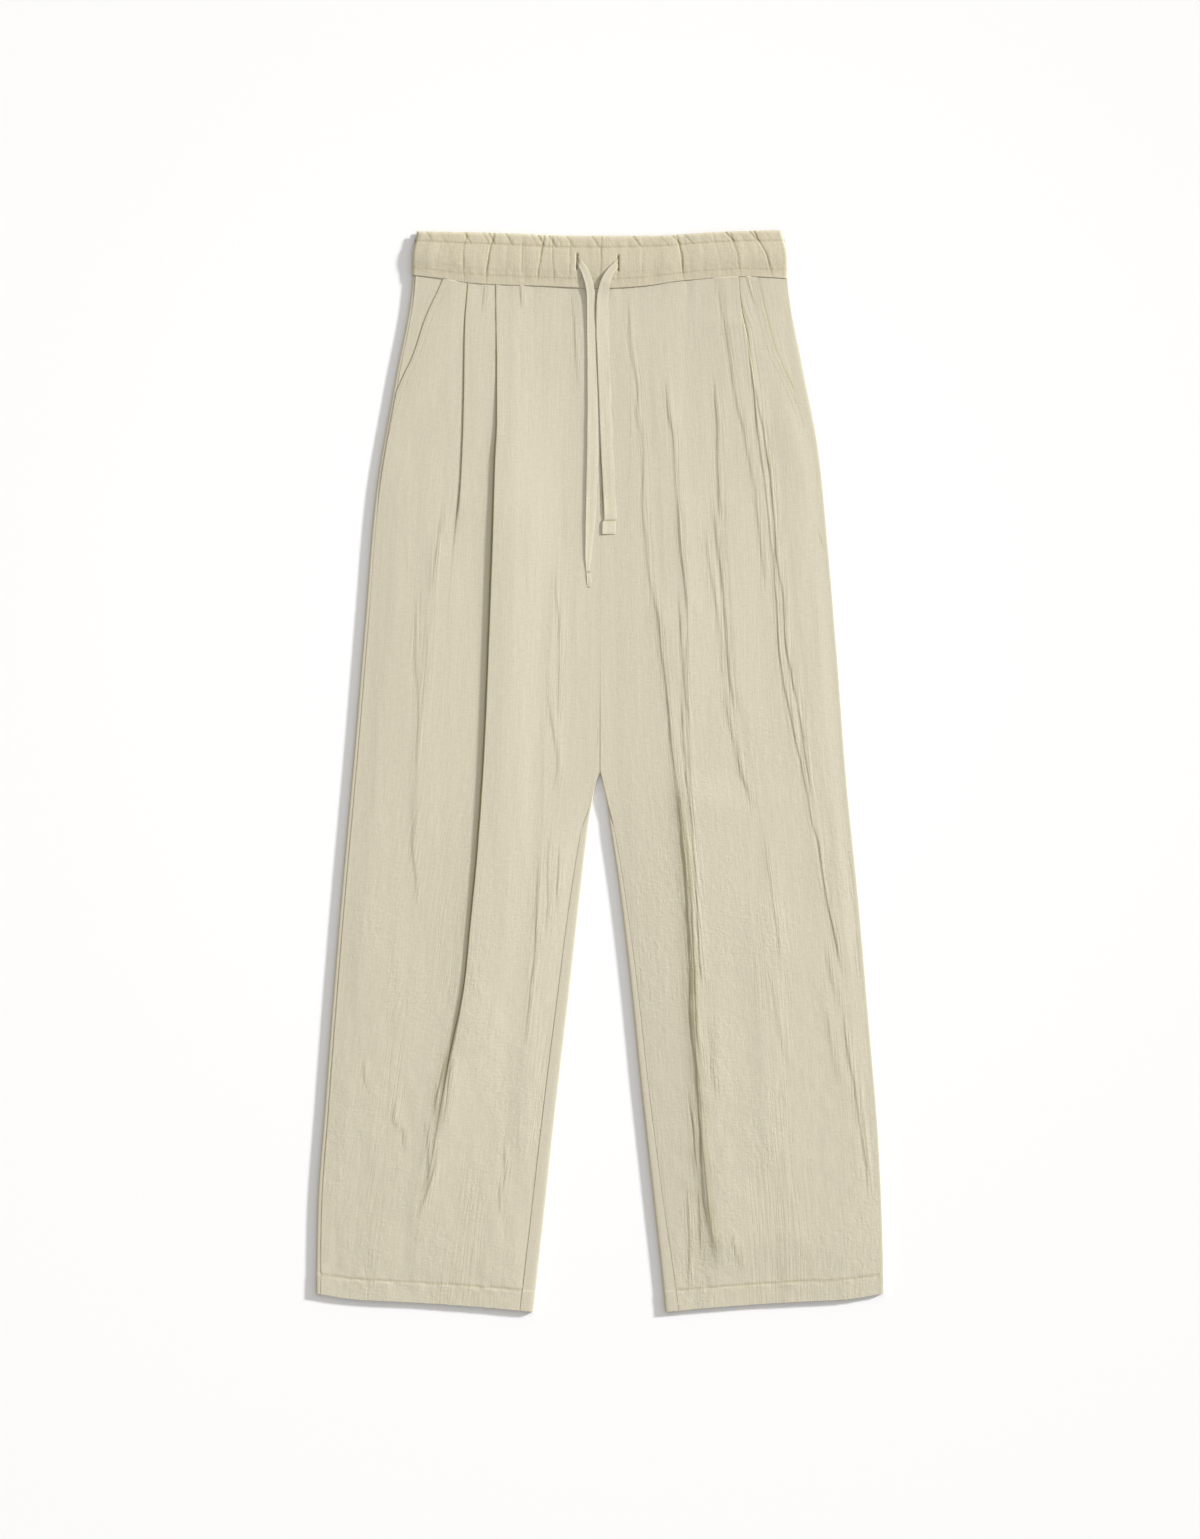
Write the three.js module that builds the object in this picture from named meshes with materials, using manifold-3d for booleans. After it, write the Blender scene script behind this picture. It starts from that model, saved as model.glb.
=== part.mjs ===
import * as THREE from 'three';
import { mergeVertices } from 'three/addons/utils/BufferGeometryUtils.js';
import Module from 'manifold-3d';

// Wide-leg pull-on trousers of light crinkled cloth, laid flat with the front up.
// Millimetres. +X points right as the front is seen, +Y from hem to waist, +Z up from the table.
// The origin is the middle of the underside. Inside a leg's functions a place is given by p, its
// distance out from the centre line, so that one formula serves both legs.

// Cloth, seams and layers
const WALL = 1.0;                 // cloth wall
const SEAM_GAP = 0.3;             // clearance between sewn pieces
const CENTRE_GAP = 0.15;          // half the clearance at the centre front and centre back seams
const LAYER = 1.35;               // rise from one layer of a fold to the next
const INSIDE = 0.8;               // space between back and front inside a leg
const HEM_DEPTH = 20;             // depth of the turned-up hem
const HEM_EXTRA = 0.5;            // how much thicker the turned-up hem is
const PUFF = 0.9;                 // how far the front stands off the back in the middle of a leg
const PUFF_REACH = 24;            // how far in from a folded side the front has risen to that
const PUFF_END = 60;              // and how far from the hem and the waist
const PUFF_AT_WAIST = 0.4;        // share of it that is left at the waist seam
const PUFF_PARTS = { from: 10, to: -70 };   // levels between which it parts into two legs
const CENTRE_FLANGE = 3;          // flat cloth beside the centre back seam
const SHARPEST_MITRE = 0.4;       // keeps a wall's corners from growing into spikes
const TURN_STEPS = 3;             // facets in each half turn of a folded wall
const TURN_APART = 0.01;          // keeps the columns of a turn apart where it is flat
const FRONT_STEPS = [5, 3, 9];    // columns of a front before, between and after its pleats
const BACK_STEPS = 8;

// Heights of the wall's middle
const Z_BACK = WALL / 2;
const Z_FRONT = WALL + INSIDE + WALL / 2;
const FOLD_RADIUS = (Z_FRONT - Z_BACK) / 2;
const FOLD_REACH = FOLD_RADIUS + WALL / 2;
const PLEAT_RADIUS = LAYER / 2;

// Rows across the legs, by their level at mid-leg
const TOP = 488;
const HEM = -532;
const ROW_STEP = 37;
const CROTCH_TOP = 7;
const CROTCH_BOTTOM = -21;
const ROW_SPANS = [
  { from: TOP, to: CROTCH_TOP, steps: 13 },
  { from: CROTCH_TOP, to: CROTCH_BOTTOM, steps: 4 },
  { from: CROTCH_BOTTOM, to: HEM + HEM_DEPTH + 2, steps: 12 },
  { from: HEM + HEM_DEPTH + 2, to: HEM + HEM_DEPTH, steps: 1 },
  { from: HEM + HEM_DEPTH, to: HEM, steps: 1 },
];
const WAIST_SPREAD = 110;         // the waist seam's dip fades out over this length of leg
const HEM_SPREAD = 140;           // and so does the hem's slope
const WAIST_LIFT = 0.7;           // the fronts rise to the waistband over their first row

// Outline of each leg: outer fold and inner fold, as distance out from the centre line
const LEGS = {
  left: {
    sign: -1,
    outer: [
      { y: 496, p: 187.4 }, { y: 482, p: 188.4 }, { y: 391, p: 204.9 }, { y: 271, p: 225.1 },
      { y: 151, p: 235.2 }, { y: 31, p: 245.1 }, { y: -149, p: 261.1 }, { y: -329, p: 275.1 },
      { y: -449, p: 283.2 }, { y: -523, p: 284.15 }, { y: -541, p: 284.15 },
    ],
    inner: [
      { y: 0, p: 0 }, { y: -16, p: 5.2 }, { y: -39, p: 9.2 }, { y: -69, p: 13.2 },
      { y: -129, p: 20.2 }, { y: -219, p: 30.2 }, { y: -339, p: 44.2 }, { y: -459, p: 57.2 },
      { y: -541, p: 66.3 },
    ],
    // How far the back's cloth comes round each fold before its seam
    sideWrap: [{ y: 496, w: 3 }, { y: 300, w: 3.5 }, { y: -541, w: 4.5 }],
    innerWrap: [{ y: -16, w: 3 }, { y: -62, w: 7 }, { y: -179, w: 11 }, { y: -541, w: 14 }],
    pocketMouth: [
      { y: 496, p: 154 }, { y: 481, p: 160.2 }, { y: 449, p: 175.1 }, { y: 412, p: 188 },
      { y: 392, p: 198 }, { y: 358, p: 212.2 }, { y: 320, p: 228 },
    ],
  },
  right: {
    sign: 1,
    outer: [
      { y: 496, p: 187.6 }, { y: 482, p: 188.8 }, { y: 411, p: 201.9 }, { y: 321, p: 218.9 },
      { y: 231, p: 227.9 }, { y: 111, p: 237.9 }, { y: -9, p: 246.9 }, { y: -129, p: 258.9 },
      { y: -249, p: 269.1 }, { y: -369, p: 278.9 }, { y: -459, p: 282.9 }, { y: -522, p: 284.15 },
      { y: -541, p: 284.15 },
    ],
    inner: [
      { y: 0, p: 0 }, { y: -21, p: 4.9 }, { y: -62, p: 10.9 }, { y: -109, p: 17.9 },
      { y: -209, p: 29.9 }, { y: -309, p: 39.9 }, { y: -409, p: 50.9 }, { y: -509, p: 61.9 },
      { y: -541, p: 65 },
    ],
    sideWrap: [
      { y: 496, w: 2 }, { y: 469, w: 3.5 }, { y: 421, w: 13 }, { y: 382, w: 14 },
      { y: 328, w: 7 }, { y: 280, w: 4.5 }, { y: -541, w: 4.5 },
    ],
    innerWrap: [{ y: -16, w: 3 }, { y: -179, w: 6 }, { y: -400, w: 9 }, { y: -541, w: 14 }],
    pocketMouth: [
      { y: 496, p: 156 }, { y: 481, p: 159.9 }, { y: 451, p: 166.9 }, { y: 421, p: 174.9 },
      { y: 382, p: 192.9 }, { y: 352, p: 204.4 }, { y: 328, p: 210.9 }, { y: 280, p: 228 },
    ],
  },
};
const FACING_UNDER = 12;          // how far the pocket facing runs in under the front
const POCKET_ROWS = 4;            // the facing is this many rows deep
const POCKET_END = TOP - POCKET_ROWS * ROW_STEP;
const POCKET_FADE = { from: 2.5, to: 1 };   // rows below its end over which the front rises
const POCKET_RAMP = { from: 16, to: 4 };    // and the same from its inner edge outwards

// Levels of the waist seam, the hem and the waistband's frilled edge
const WAIST_SEAM = [
  { x: -188, y: 495.5 }, { x: -155, y: 491.5 }, { x: -125, y: 487 }, { x: -50, y: 484 },
  { x: 0, y: 482 }, { x: 40, y: 484 }, { x: 85, y: 490 }, { x: 148, y: 494 }, { x: 188, y: 492 },
];
const HEM_LINE = [                // s runs from the outer fold to the inner fold
  { s: 0, y: -522.5 }, { s: 0.17, y: -528.3 }, { s: 0.43, y: -531.3 }, { s: 0.75, y: -536 },
  { s: 1, y: -541 },
];
const BAND_TOP = [
  { x: -184, y: 539.7 }, { x: -100, y: 538 }, { x: -28, y: 535.2 }, { x: 56, y: 535.4 },
  { x: 120, y: 539 }, { x: 184, y: 541 },
];

// Pleats: the inner part lies over the outer part. For each level, the place of the folded edge,
// how far the cloth runs back under it, and the turn of its fold in degrees. A half turn is a
// closed pleat. A smaller turn is a step in the cloth, and no turn is flat.
const PLEATS = {
  left: [
    [
      { y: 488, p: 132.4, under: 12, turn: 180 }, { y: 440, p: 135.6, under: 10, turn: 180 },
      { y: 380, p: 135.6, under: 7, turn: 180 }, { y: 290, p: 139.1, under: 0, turn: 180 },
      { y: 240, p: 145, under: 0, turn: 60 }, { y: 190, p: 150, under: 0, turn: 14 },
      { y: 70, p: 160, under: 0, turn: 0 }, { y: -130, p: 180, under: 0, turn: 0 },
      { y: -330, p: 205, under: 0, turn: 0 }, { y: -541, p: 230, under: 0, turn: 0 },
    ],
    [
      { y: 488, p: 104.3, under: 14, turn: 180 }, { y: 377, p: 102.5, under: 12, turn: 180 },
      { y: 171, p: 109.1, under: 9, turn: 180 }, { y: 18, p: 116.1, under: 6, turn: 180 },
      { y: -84, p: 123.1, under: 3, turn: 180 }, { y: -208, p: 135.1, under: 0, turn: 180 },
      { y: -295, p: 152.1, under: 0, turn: 90 }, { y: -397, p: 176.1, under: 0, turn: 40 },
      { y: -470, p: 184, under: 0, turn: 10 }, { y: -541, p: 192, under: 0, turn: 0 },
    ],
  ],
  right: [
    [
      { y: 488, p: 138.5, under: 6, turn: 180 }, { y: 459, p: 141.8, under: 3, turn: 180 },
      { y: 426, p: 150.9, under: 0, turn: 150 }, { y: 341, p: 163.9, under: 0, turn: 75 },
      { y: 188, p: 179.9, under: 0, turn: 90 }, { y: 82, p: 189.9, under: 0, turn: 80 },
      { y: -8, p: 204.9, under: 0, turn: 80 }, { y: -110, p: 224.9, under: 0, turn: 70 },
      { y: -186, p: 240.9, under: 0, turn: 40 }, { y: -270, p: 249, under: 0, turn: 0 },
      { y: -541, p: 258, under: 0, turn: 0 },
    ],
    [
      { y: 488, p: 84.9, under: 5, turn: 180 }, { y: 451, p: 87.4, under: 0, turn: 150 },
      { y: 414, p: 88.9, under: 0, turn: 30 }, { y: 340, p: 89.9, under: 0, turn: 20 },
      { y: 171, p: 90.9, under: 0, turn: 40 }, { y: -59, p: 91.9, under: 0, turn: 90 },
      { y: -227, p: 92.9, under: 0, turn: 120 }, { y: -353, p: 103.9, under: 0, turn: 120 },
      { y: -467, p: 115.9, under: 0, turn: 60 }, { y: -541, p: 118, under: 0, turn: 0 },
    ],
  ],
};
const PLEAT_SETTLE = 22;          // the raised layer comes down again over this width
const LEAST_UNDER = 0.4;          // straight run between a pleat's two turns where it has no depth
const FLAT_SPREAD = 1.6;          // column spacing where a pleat has opened out flat

// Long soft creases: raised lines, each with its height and half width, and its route
const CREASES = {
  left: [
    { height: 0.9, width: 9, route: [{ y: 250, p: 158 }, { y: 173, p: 167 }, { y: 60, p: 176 }] },
    { height: 1.0, width: 8, route: [{ y: 110, p: 186 }, { y: -60, p: 180 }, { y: -190, p: 178 }] },
    { height: 1.0, width: 8, route: [{ y: 150, p: 46 }, { y: -60, p: 44 }, { y: -280, p: 62 }] },
    { height: 0.9, width: 9, route: [{ y: -280, p: 196 }, { y: -400, p: 200 }, { y: -480, p: 190 }] },
  ],
  right: [
    {
      height: 1.5, width: 7,
      route: [
        { y: 408, p: 35.9 }, { y: 290, p: 45.9 }, { y: 166, p: 55.9 }, { y: -8, p: 75.9 },
        { y: -46, p: 81 },
      ],
    },
    {
      height: 1.5, width: 7,
      route: [{ y: 362, p: 66 }, { y: 283, p: 75.9 }, { y: 171, p: 82 }, { y: 28, p: 84 }],
    },
    {
      height: 1.6, width: 8,
      route: [
        { y: 403, p: 118.9 }, { y: 278, p: 117.9 }, { y: 171, p: 117.9 }, { y: 64, p: 135.9 },
        { y: -39, p: 152.9 }, { y: -130, p: 176.9 },
      ],
    },
    { height: 1.2, width: 7, route: [{ y: 431, p: 127.9 }, { y: 354, p: 142.9 }, { y: 300, p: 160 }] },
    { height: 1.3, width: 7, route: [{ y: -330, p: 88 }, { y: -420, p: 86 }, { y: -500, p: 85 }] },
    { height: 1.0, width: 9, route: [{ y: -130, p: 140 }, { y: -300, p: 150 }, { y: -480, p: 150 }] },
  ],
};
const CREASE_END = 45;            // a crease fades in and out over this length

// Waistband: section rows from the seam (f = 0) to the frilled edge (f = 1), with its thickness
const BAND_ROWS = [
  { f: 0, thick: 2.3, gather: 0.25 }, { f: 0.1, thick: 2.8, gather: 0.4 },
  { f: 0.21, thick: 2.0, gather: 0.5 }, { f: 0.36, thick: 3.6, gather: 1 },
  { f: 0.64, thick: 3.6, gather: 1 }, { f: 0.79, thick: 1.9, gather: 0.5 },
  { f: 1, thick: 2.1, gather: 0.8 },
];
const BAND_SIDE = [               // half width of the band at each height above the table's centre
  { y: 541, left: 183.2, right: 181.9 }, { y: 531, left: 184.4, right: 184 },
  { y: 524, left: 186.8, right: 186.4 }, { y: 515, left: 188.2, right: 187.9 },
  { y: 492, left: 188.2, right: 187.2 },
];
const GATHERS = [                 // furrows of the elastic waist, with depth and lean towards the top
  { x: -170, depth: 0.5, lean: 2 }, { x: -152, depth: 0.6, lean: -2 },
  { x: -136, depth: 1.0, lean: 0 }, { x: -123, depth: 0.7, lean: 2 },
  { x: -111, depth: 1.5, lean: 3 }, { x: -94, depth: 0.8, lean: 2 },
  { x: -78, depth: 0.7, lean: 2 }, { x: -59, depth: 1.4, lean: 4 },
  { x: -45, depth: 0.8, lean: 2 }, { x: -31, depth: 0.8, lean: 0 },
  { x: -6, depth: 0.9, lean: 0 }, { x: 7, depth: 0.6, lean: 2 }, { x: 30, depth: 0.7, lean: 2 },
  { x: 43, depth: 1.0, lean: 0 }, { x: 60, depth: 0.6, lean: -2 },
  { x: 82, depth: 1.6, lean: -2 }, { x: 102, depth: 0.6, lean: -4 },
  { x: 119, depth: 0.9, lean: -3 }, { x: 137, depth: 1.0, lean: -4 },
  { x: 163, depth: 1.6, lean: -7 }, { x: 177, depth: 0.5, lean: 0 },
];
const GATHER_SHOULDER = 3.2;      // from the bottom of a furrow to its shoulder
const GATHER_SHARE = 0.62;        // share of that at which a furrow has most of its slope
const DEEP_FURROW = 0.45;         // furrows deeper than this dip the frilled edge
const FRILL_DIP = 1.1;            // the frilled edge dips this much at a furrow
const BAND_BACK_THICK = 2.3;
const BAND_INSIDE = 0.9;          // space inside the waist, away from its sides
const BAND_EDGE = 3.2;            // rounding of the band's two sides
const BAND_CLOSES = 14;           // the space inside the waist closes over this width at its sides
const BAND_LEAST = 1;             // thinnest place of the front band, in a furrow
const BAND_RIM = 0.7;             // thickness of the front band at its two sides
const BAND_UNDER_ROUND = 1.2;     // how far the back band's underside rises at its sides
const HALF_BAND = 188.2;
const SIDE_COLUMNS = [0, 1.6, 4.2, 8.2];    // columns of the front band, in from its side
const LEAST_COLUMN = 1.1;
const BACK_BAND = { inset: [0, 0.5, 1.4, BAND_EDGE], middle: 168, steps: 14, rows: 3 };

// Buttonholes and the flat drawstring
const BUTTONHOLES = [{ x: -23.2, y: 509.5 }, { x: 17.9, y: 507.5 }];
const BUTTONHOLE = { width: 2.2, length: 17, depth: 1.6 };
const TAPE_WIDTH = 13;
const TAPE_THICK = 1.4;
const TAPE_BEVEL = 0.5;
const TAPE_STEPS = 34;
const TAPES = {
  drawstring_left: [
    { x: -22.4, y: 516, z: 8.4 }, { x: -19, y: 509, z: 8.4 }, { x: -15, y: 501, z: 8.2 },
    { x: -11, y: 492, z: 7.8 }, { x: -8.8, y: 483, z: 7 }, { x: -8.2, y: 473, z: 5.9 },
    { x: -8.1, y: 460, z: 5.1 }, { x: -8.1, y: 440, z: 4.9 }, { x: -8.1, y: 410, z: 4.9 },
    { x: -8, y: 370, z: 4.9 }, { x: -8, y: 330, z: 4.9 }, { x: -8.2, y: 290, z: 4.9 },
    { x: -8.6, y: 255, z: 4.9 }, { x: -9.6, y: 225, z: 4.9 }, { x: -10.4, y: 205, z: 4.9 },
    { x: -11.4, y: 183, z: 4.9 },
  ],
  drawstring_right: [
    { x: 20, y: 516, z: 10.2 }, { x: 15.5, y: 509, z: 10.2 }, { x: 10.5, y: 501, z: 10 },
    { x: 6, y: 492, z: 9.6 }, { x: 3.6, y: 483, z: 8.9 }, { x: 2.6, y: 473, z: 7.8 },
    { x: 2.3, y: 460, z: 7 }, { x: 2.3, y: 440, z: 6.8 }, { x: 2.8, y: 410, z: 6.8 },
    { x: 3.6, y: 375, z: 6.8 }, { x: 5, y: 345, z: 6.7 }, { x: 6.6, y: 318, z: 6 },
    { x: 7.6, y: 295, z: 5.1 }, { x: 8.2, y: 270, z: 4.9 }, { x: 8.5, y: 250, z: 4.9 },
    { x: 8.6, y: 236, z: 4.9 },
  ],
};

const COLOURS = {
  front: '#d9cfb9', back: '#cfc6ae', band: '#d0c6ad', facing: '#d3cab3', tape: '#ddd4bf',
};
const ROUGHNESS = 0.85;

const clamp01 = (t) => Math.min(1, Math.max(0, t));
const lerp = (a, b, t) => a + (b - a) * t;
const smooth = (from, to, t) => {
  const s = clamp01((t - from) / (to - from));
  return s * s * (3 - 2 * s);
};

// A smooth curve through a table's rows: the value of one column against another. Each interval is
// a cubic whose end slopes are harmonic means of the slopes on either side, so it never overshoots.
function curve(rows, column, by = 'y') {
  const sorted = [...rows].sort((a, b) => a[by] - b[by]);
  const at = sorted.map((row) => row[by]);
  const value = sorted.map((row) => row[column]);
  const last = at.length - 1;
  const slope = at.slice(1).map((end, i) => (value[i + 1] - value[i]) / (end - at[i]));
  const tangent = at.map((_, i) => {
    if (i === 0) return slope[0];
    if (i === last) return slope[last - 1];
    if (slope[i - 1] * slope[i] <= 0) return 0;
    const before = at[i] - at[i - 1] + 2 * (at[i + 1] - at[i]);
    const after = 2 * (at[i] - at[i - 1]) + at[i + 1] - at[i];
    return (before + after) / (before / slope[i - 1] + after / slope[i]);
  });
  return (t) => {
    if (t <= at[0]) return value[0];
    if (t >= at[last]) return value[last];
    let i = 0;
    while (t > at[i + 1]) i += 1;
    const h = at[i + 1] - at[i];
    const s = (t - at[i]) / h;
    const blend = s * s * (3 - 2 * s);
    const lead = s * (1 - s) * (1 - s) * h * tangent[i];
    const trail = s * s * (1 - s) * h * tangent[i + 1];
    return lerp(value[i], value[i + 1], blend) + lead - trail;
  };
}

const waistSeam = curve(WAIST_SEAM, 'y', 'x');
const hemLine = curve(HEM_LINE, 'y', 's');
const bandTop = curve(BAND_TOP, 'y', 'x');

// The levels of the rows from waist to hem
function rowLevels() {
  const levels = [TOP];
  for (const span of ROW_SPANS) {
    for (let i = 1; i <= span.steps; i += 1) levels.push(lerp(span.from, span.to, i / span.steps));
  }
  return levels;
}

// Everything that a leg's pieces share, with its tables made into curves
function makeLeg(name) {
  const table = LEGS[name];
  const outer = curve(table.outer, 'p');
  const innerFold = curve(table.inner, 'p');
  const inner = (y) => (y > 0 ? 0 : innerFold(y));
  const sideWrap = curve(table.sideWrap, 'w');
  const innerWrap = curve(table.innerWrap, 'w');
  const mouth = curve(table.pocketMouth, 'p');
  const pleats = PLEATS[name].map((rows) => ({
    edge: curve(rows, 'p'), under: curve(rows, 'under'), turn: curve(rows, 'turn'),
  }));
  const creases = CREASES[name].map((crease) => ({
    ...crease,
    line: curve(crease.route, 'p'),
    from: crease.route[0].y,
    to: crease.route[crease.route.length - 1].y,
  }));
  const leg = { ...table, name, outer, inner, sideWrap, innerWrap, mouth, pleats, creases };
  leg.seamOut = (y) => outer(y) - sideWrap(y) - SEAM_GAP;
  leg.frontOut = (y) => (y > POCKET_END - 1 ? Math.min(mouth(y), leg.seamOut(y)) : leg.seamOut(y));
  leg.seamIn = (y) => lerp(
    inner(y) + innerWrap(y) + SEAM_GAP, CENTRE_GAP, smooth(CROTCH_BOTTOM + 6, CROTCH_TOP - 1, y),
  );
  return leg;
}

// A point of a leg: row level y, distance out p, height z. Rows bend to follow the waist seam at
// their top end and the hem at their lower end, and keep their place across the leg.
function legPoint(leg, y, p, z) {
  const s = (leg.outer(y) - p) / (leg.outer(y) - leg.inner(y));
  const toWaist = smooth(TOP - WAIST_SPREAD, TOP, y);
  const toHem = smooth(HEM + HEM_DEPTH + HEM_SPREAD, HEM + HEM_DEPTH, y);
  const waistShift = waistSeam(leg.sign * p) - SEAM_GAP - TOP;
  const level = y + toWaist * waistShift + toHem * (hemLine(clamp01(s)) - HEM);
  const across = leg.outer(level) - s * (leg.outer(level) - leg.inner(level));
  return new THREE.Vector3(leg.sign * across, level, z);
}

// The two faces of a wall whose middle runs along a section line of points { m, z }: each point
// moves half the wall along the mean normal of its two neighbouring sides.
function wallFaces(line, wall) {
  const normals = line.slice(1).map((end, i) => {
    const dm = end.m - line[i].m;
    const dz = end.z - line[i].z;
    const length = Math.hypot(dm, dz);
    return { m: -dz / length, z: dm / length };
  });
  return line.map((point, i) => {
    const a = normals[Math.max(0, i - 1)];
    const b = normals[Math.min(normals.length - 1, i)];
    const scale = wall / 2 / Math.max(SHARPEST_MITRE, 1 + a.m * b.m + a.z * b.z);
    const m = (a.m + b.m) * scale;
    const z = (a.z + b.z) * scale;
    return { up: { m: point.m + m, z: point.z + z }, down: { m: point.m - m, z: point.z - z } };
  });
}

// A closed solid between an upper and a lower grid of points, with walls round its four sides
function solidBetween(upper, lower, flip) {
  const rows = upper.length;
  const columns = upper[0].length;
  const positions = [...upper.flat(), ...lower.flat()].flatMap((v) => [v.x, v.y, v.z]);
  const index = [];
  const up = (r, c) => r * columns + c;
  const low = (r, c) => rows * columns + r * columns + c;
  const triangle = (a, b, c) => index.push(...(flip ? [a, c, b] : [a, b, c]));
  const quad = (a, b, c, d) => {
    triangle(a, b, c);
    triangle(a, c, d);
  };
  for (let r = 0; r < rows - 1; r += 1) {
    for (let c = 0; c < columns - 1; c += 1) {
      quad(up(r, c), up(r + 1, c), up(r + 1, c + 1), up(r, c + 1));
      quad(low(r, c), low(r, c + 1), low(r + 1, c + 1), low(r + 1, c));
    }
    quad(up(r, 0), low(r, 0), low(r + 1, 0), up(r + 1, 0));
    const end = columns - 1;
    quad(up(r, end), up(r + 1, end), low(r + 1, end), low(r, end));
  }
  for (let c = 0; c < columns - 1; c += 1) {
    quad(up(0, c), up(0, c + 1), low(0, c + 1), low(0, c));
    const end = rows - 1;
    quad(up(end, c), low(end, c), low(end, c + 1), up(end, c + 1));
  }
  const geometry = new THREE.BufferGeometry();
  geometry.setAttribute('position', new THREE.Float32BufferAttribute(positions, 3));
  geometry.setIndex(index);
  return geometry;
}

// A cloth panel of a leg from its section lines, one for each row level
function panel(leg, levels, section, wallAt) {
  const upper = [];
  const lower = [];
  for (const y of levels) {
    const faces = wallFaces(section(leg, y), wallAt(y));
    upper.push(faces.map(({ up }) => legPoint(leg, y, -up.m, up.z)));
    lower.push(faces.map(({ down }) => legPoint(leg, y, -down.m, down.z)));
  }
  return solidBetween(upper, lower, leg.sign > 0);
}

const hemExtra = (y) => (y < HEM + HEM_DEPTH + 1 ? HEM_EXTRA : 0);
const wallAt = (y) => WALL + hemExtra(y);
const waistLift = (y) => WAIST_LIFT * clamp01((y - (TOP - ROW_STEP)) / ROW_STEP);

// Height of the front's middle without its pleats: it rises off the back away from the folded
// sides, lies over the pocket facing, and carries the long creases.
function frontHeight(leg, y, p) {
  const fromSide = 1 - Math.exp(-Math.max(0, leg.outer(y) - p) / PUFF_REACH);
  const fromInner = 1 - Math.exp(-Math.max(0, p - leg.inner(y)) / PUFF_REACH);
  const inLeg = smooth(PUFF_PARTS.from, PUFF_PARTS.to, y);
  const ends = smooth(HEM, HEM + PUFF_END, y)
    * lerp(1, PUFF_AT_WAIST, smooth(TOP - PUFF_END, TOP, y));
  const puff = PUFF * fromSide * lerp(1, fromInner, inLeg) * ends;
  const under = leg.mouth(y) - FACING_UNDER;
  const pocket = LAYER
    * smooth(POCKET_END - POCKET_FADE.from * ROW_STEP, POCKET_END - POCKET_FADE.to * ROW_STEP, y)
    * smooth(under - POCKET_RAMP.from, under - POCKET_RAMP.to, p);
  let creased = 0;
  for (const crease of leg.creases) {
    const along = smooth(crease.from + 5, crease.from - CREASE_END, y)
      * smooth(crease.to - 5, crease.to + CREASE_END, y);
    const off = (p - crease.line(y)) / crease.width;
    creased += crease.height * along * Math.exp(-off * off);
  }
  return Z_FRONT + hemExtra(y) + puff + pocket + creased + waistLift(y);
}

// A pleat's own section at a level: an arc, a straight run back and an arc the other way, from the
// lower layer to the upper one. Its outermost point lies at the pleat's edge. As the turn opens
// out, its points draw apart so that flat cloth has even columns there.
function pleatSection(pleat, y) {
  const turn = THREE.MathUtils.degToRad(Math.max(0, Math.min(180, pleat.turn(y))));
  const under = Math.max(LEAST_UNDER, pleat.under(y));
  const r = PLEAT_RADIUS;
  const start = -pleat.edge(y) + WALL / 2 - (2 * r * Math.sin(turn) + under * Math.cos(turn) - r);
  const knee = { m: start + r * Math.sin(turn), z: r * (1 - Math.cos(turn)) };
  const back = { m: knee.m + under * Math.cos(turn), z: knee.z + under * Math.sin(turn) };
  const first = [];
  const second = [];
  for (let i = 0; i <= TURN_STEPS; i += 1) {
    const a = (turn * i) / TURN_STEPS;
    const b = turn - a;
    first.push({ m: start + r * Math.sin(a), z: r * (1 - Math.cos(a)) });
    second.push({
      m: back.m + r * (Math.sin(turn) - Math.sin(b)), z: back.z + r * (Math.cos(b) - Math.cos(turn)),
    });
  }
  const spread = FLAT_SPREAD * (1 - turn / Math.PI);
  const points = [...first, ...second].map(({ m, z }, i) => (
    { m: m + (i - TURN_STEPS - 0.5) * spread, z }
  ));
  const end = points[points.length - 1];
  return { points, start: points[0].m, end, settleFrom: Math.max(start + r, end.m) + 1 };
}

// The section line of a front: even steps between its two pleats, whose turns it follows
function frontSection(leg, y) {
  const line = [];
  const lifts = [];
  const height = (m) => lifts.reduce(
    (sum, lift) => sum + lift.rise * smooth(lift.from + PLEAT_SETTLE, lift.from, m),
    frontHeight(leg, y, -m),
  );
  const stops = [...leg.pleats.map((pleat) => pleatSection(pleat, y)), null];
  let from = -leg.frontOut(y);
  stops.forEach((stop, k) => {
    const to = stop ? stop.start : -leg.seamIn(y);
    const first = k === 0 ? 0 : 1;
    const steps = FRONT_STEPS[k];
    const base = height;
    for (let i = first; i < steps; i += 1) {
      const m = lerp(from, to, i / steps);
      line.push({ m, z: base(m) });
    }
    if (!stop) {
      line.push({ m: to, z: base(to) });
      return;
    }
    for (const point of stop.points) line.push({ m: point.m, z: base(point.m) + point.z });
    lifts.push({ rise: stop.end.z, from: stop.settleFrom });
    from = stop.end.m;
  });
  return line;
}

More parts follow.
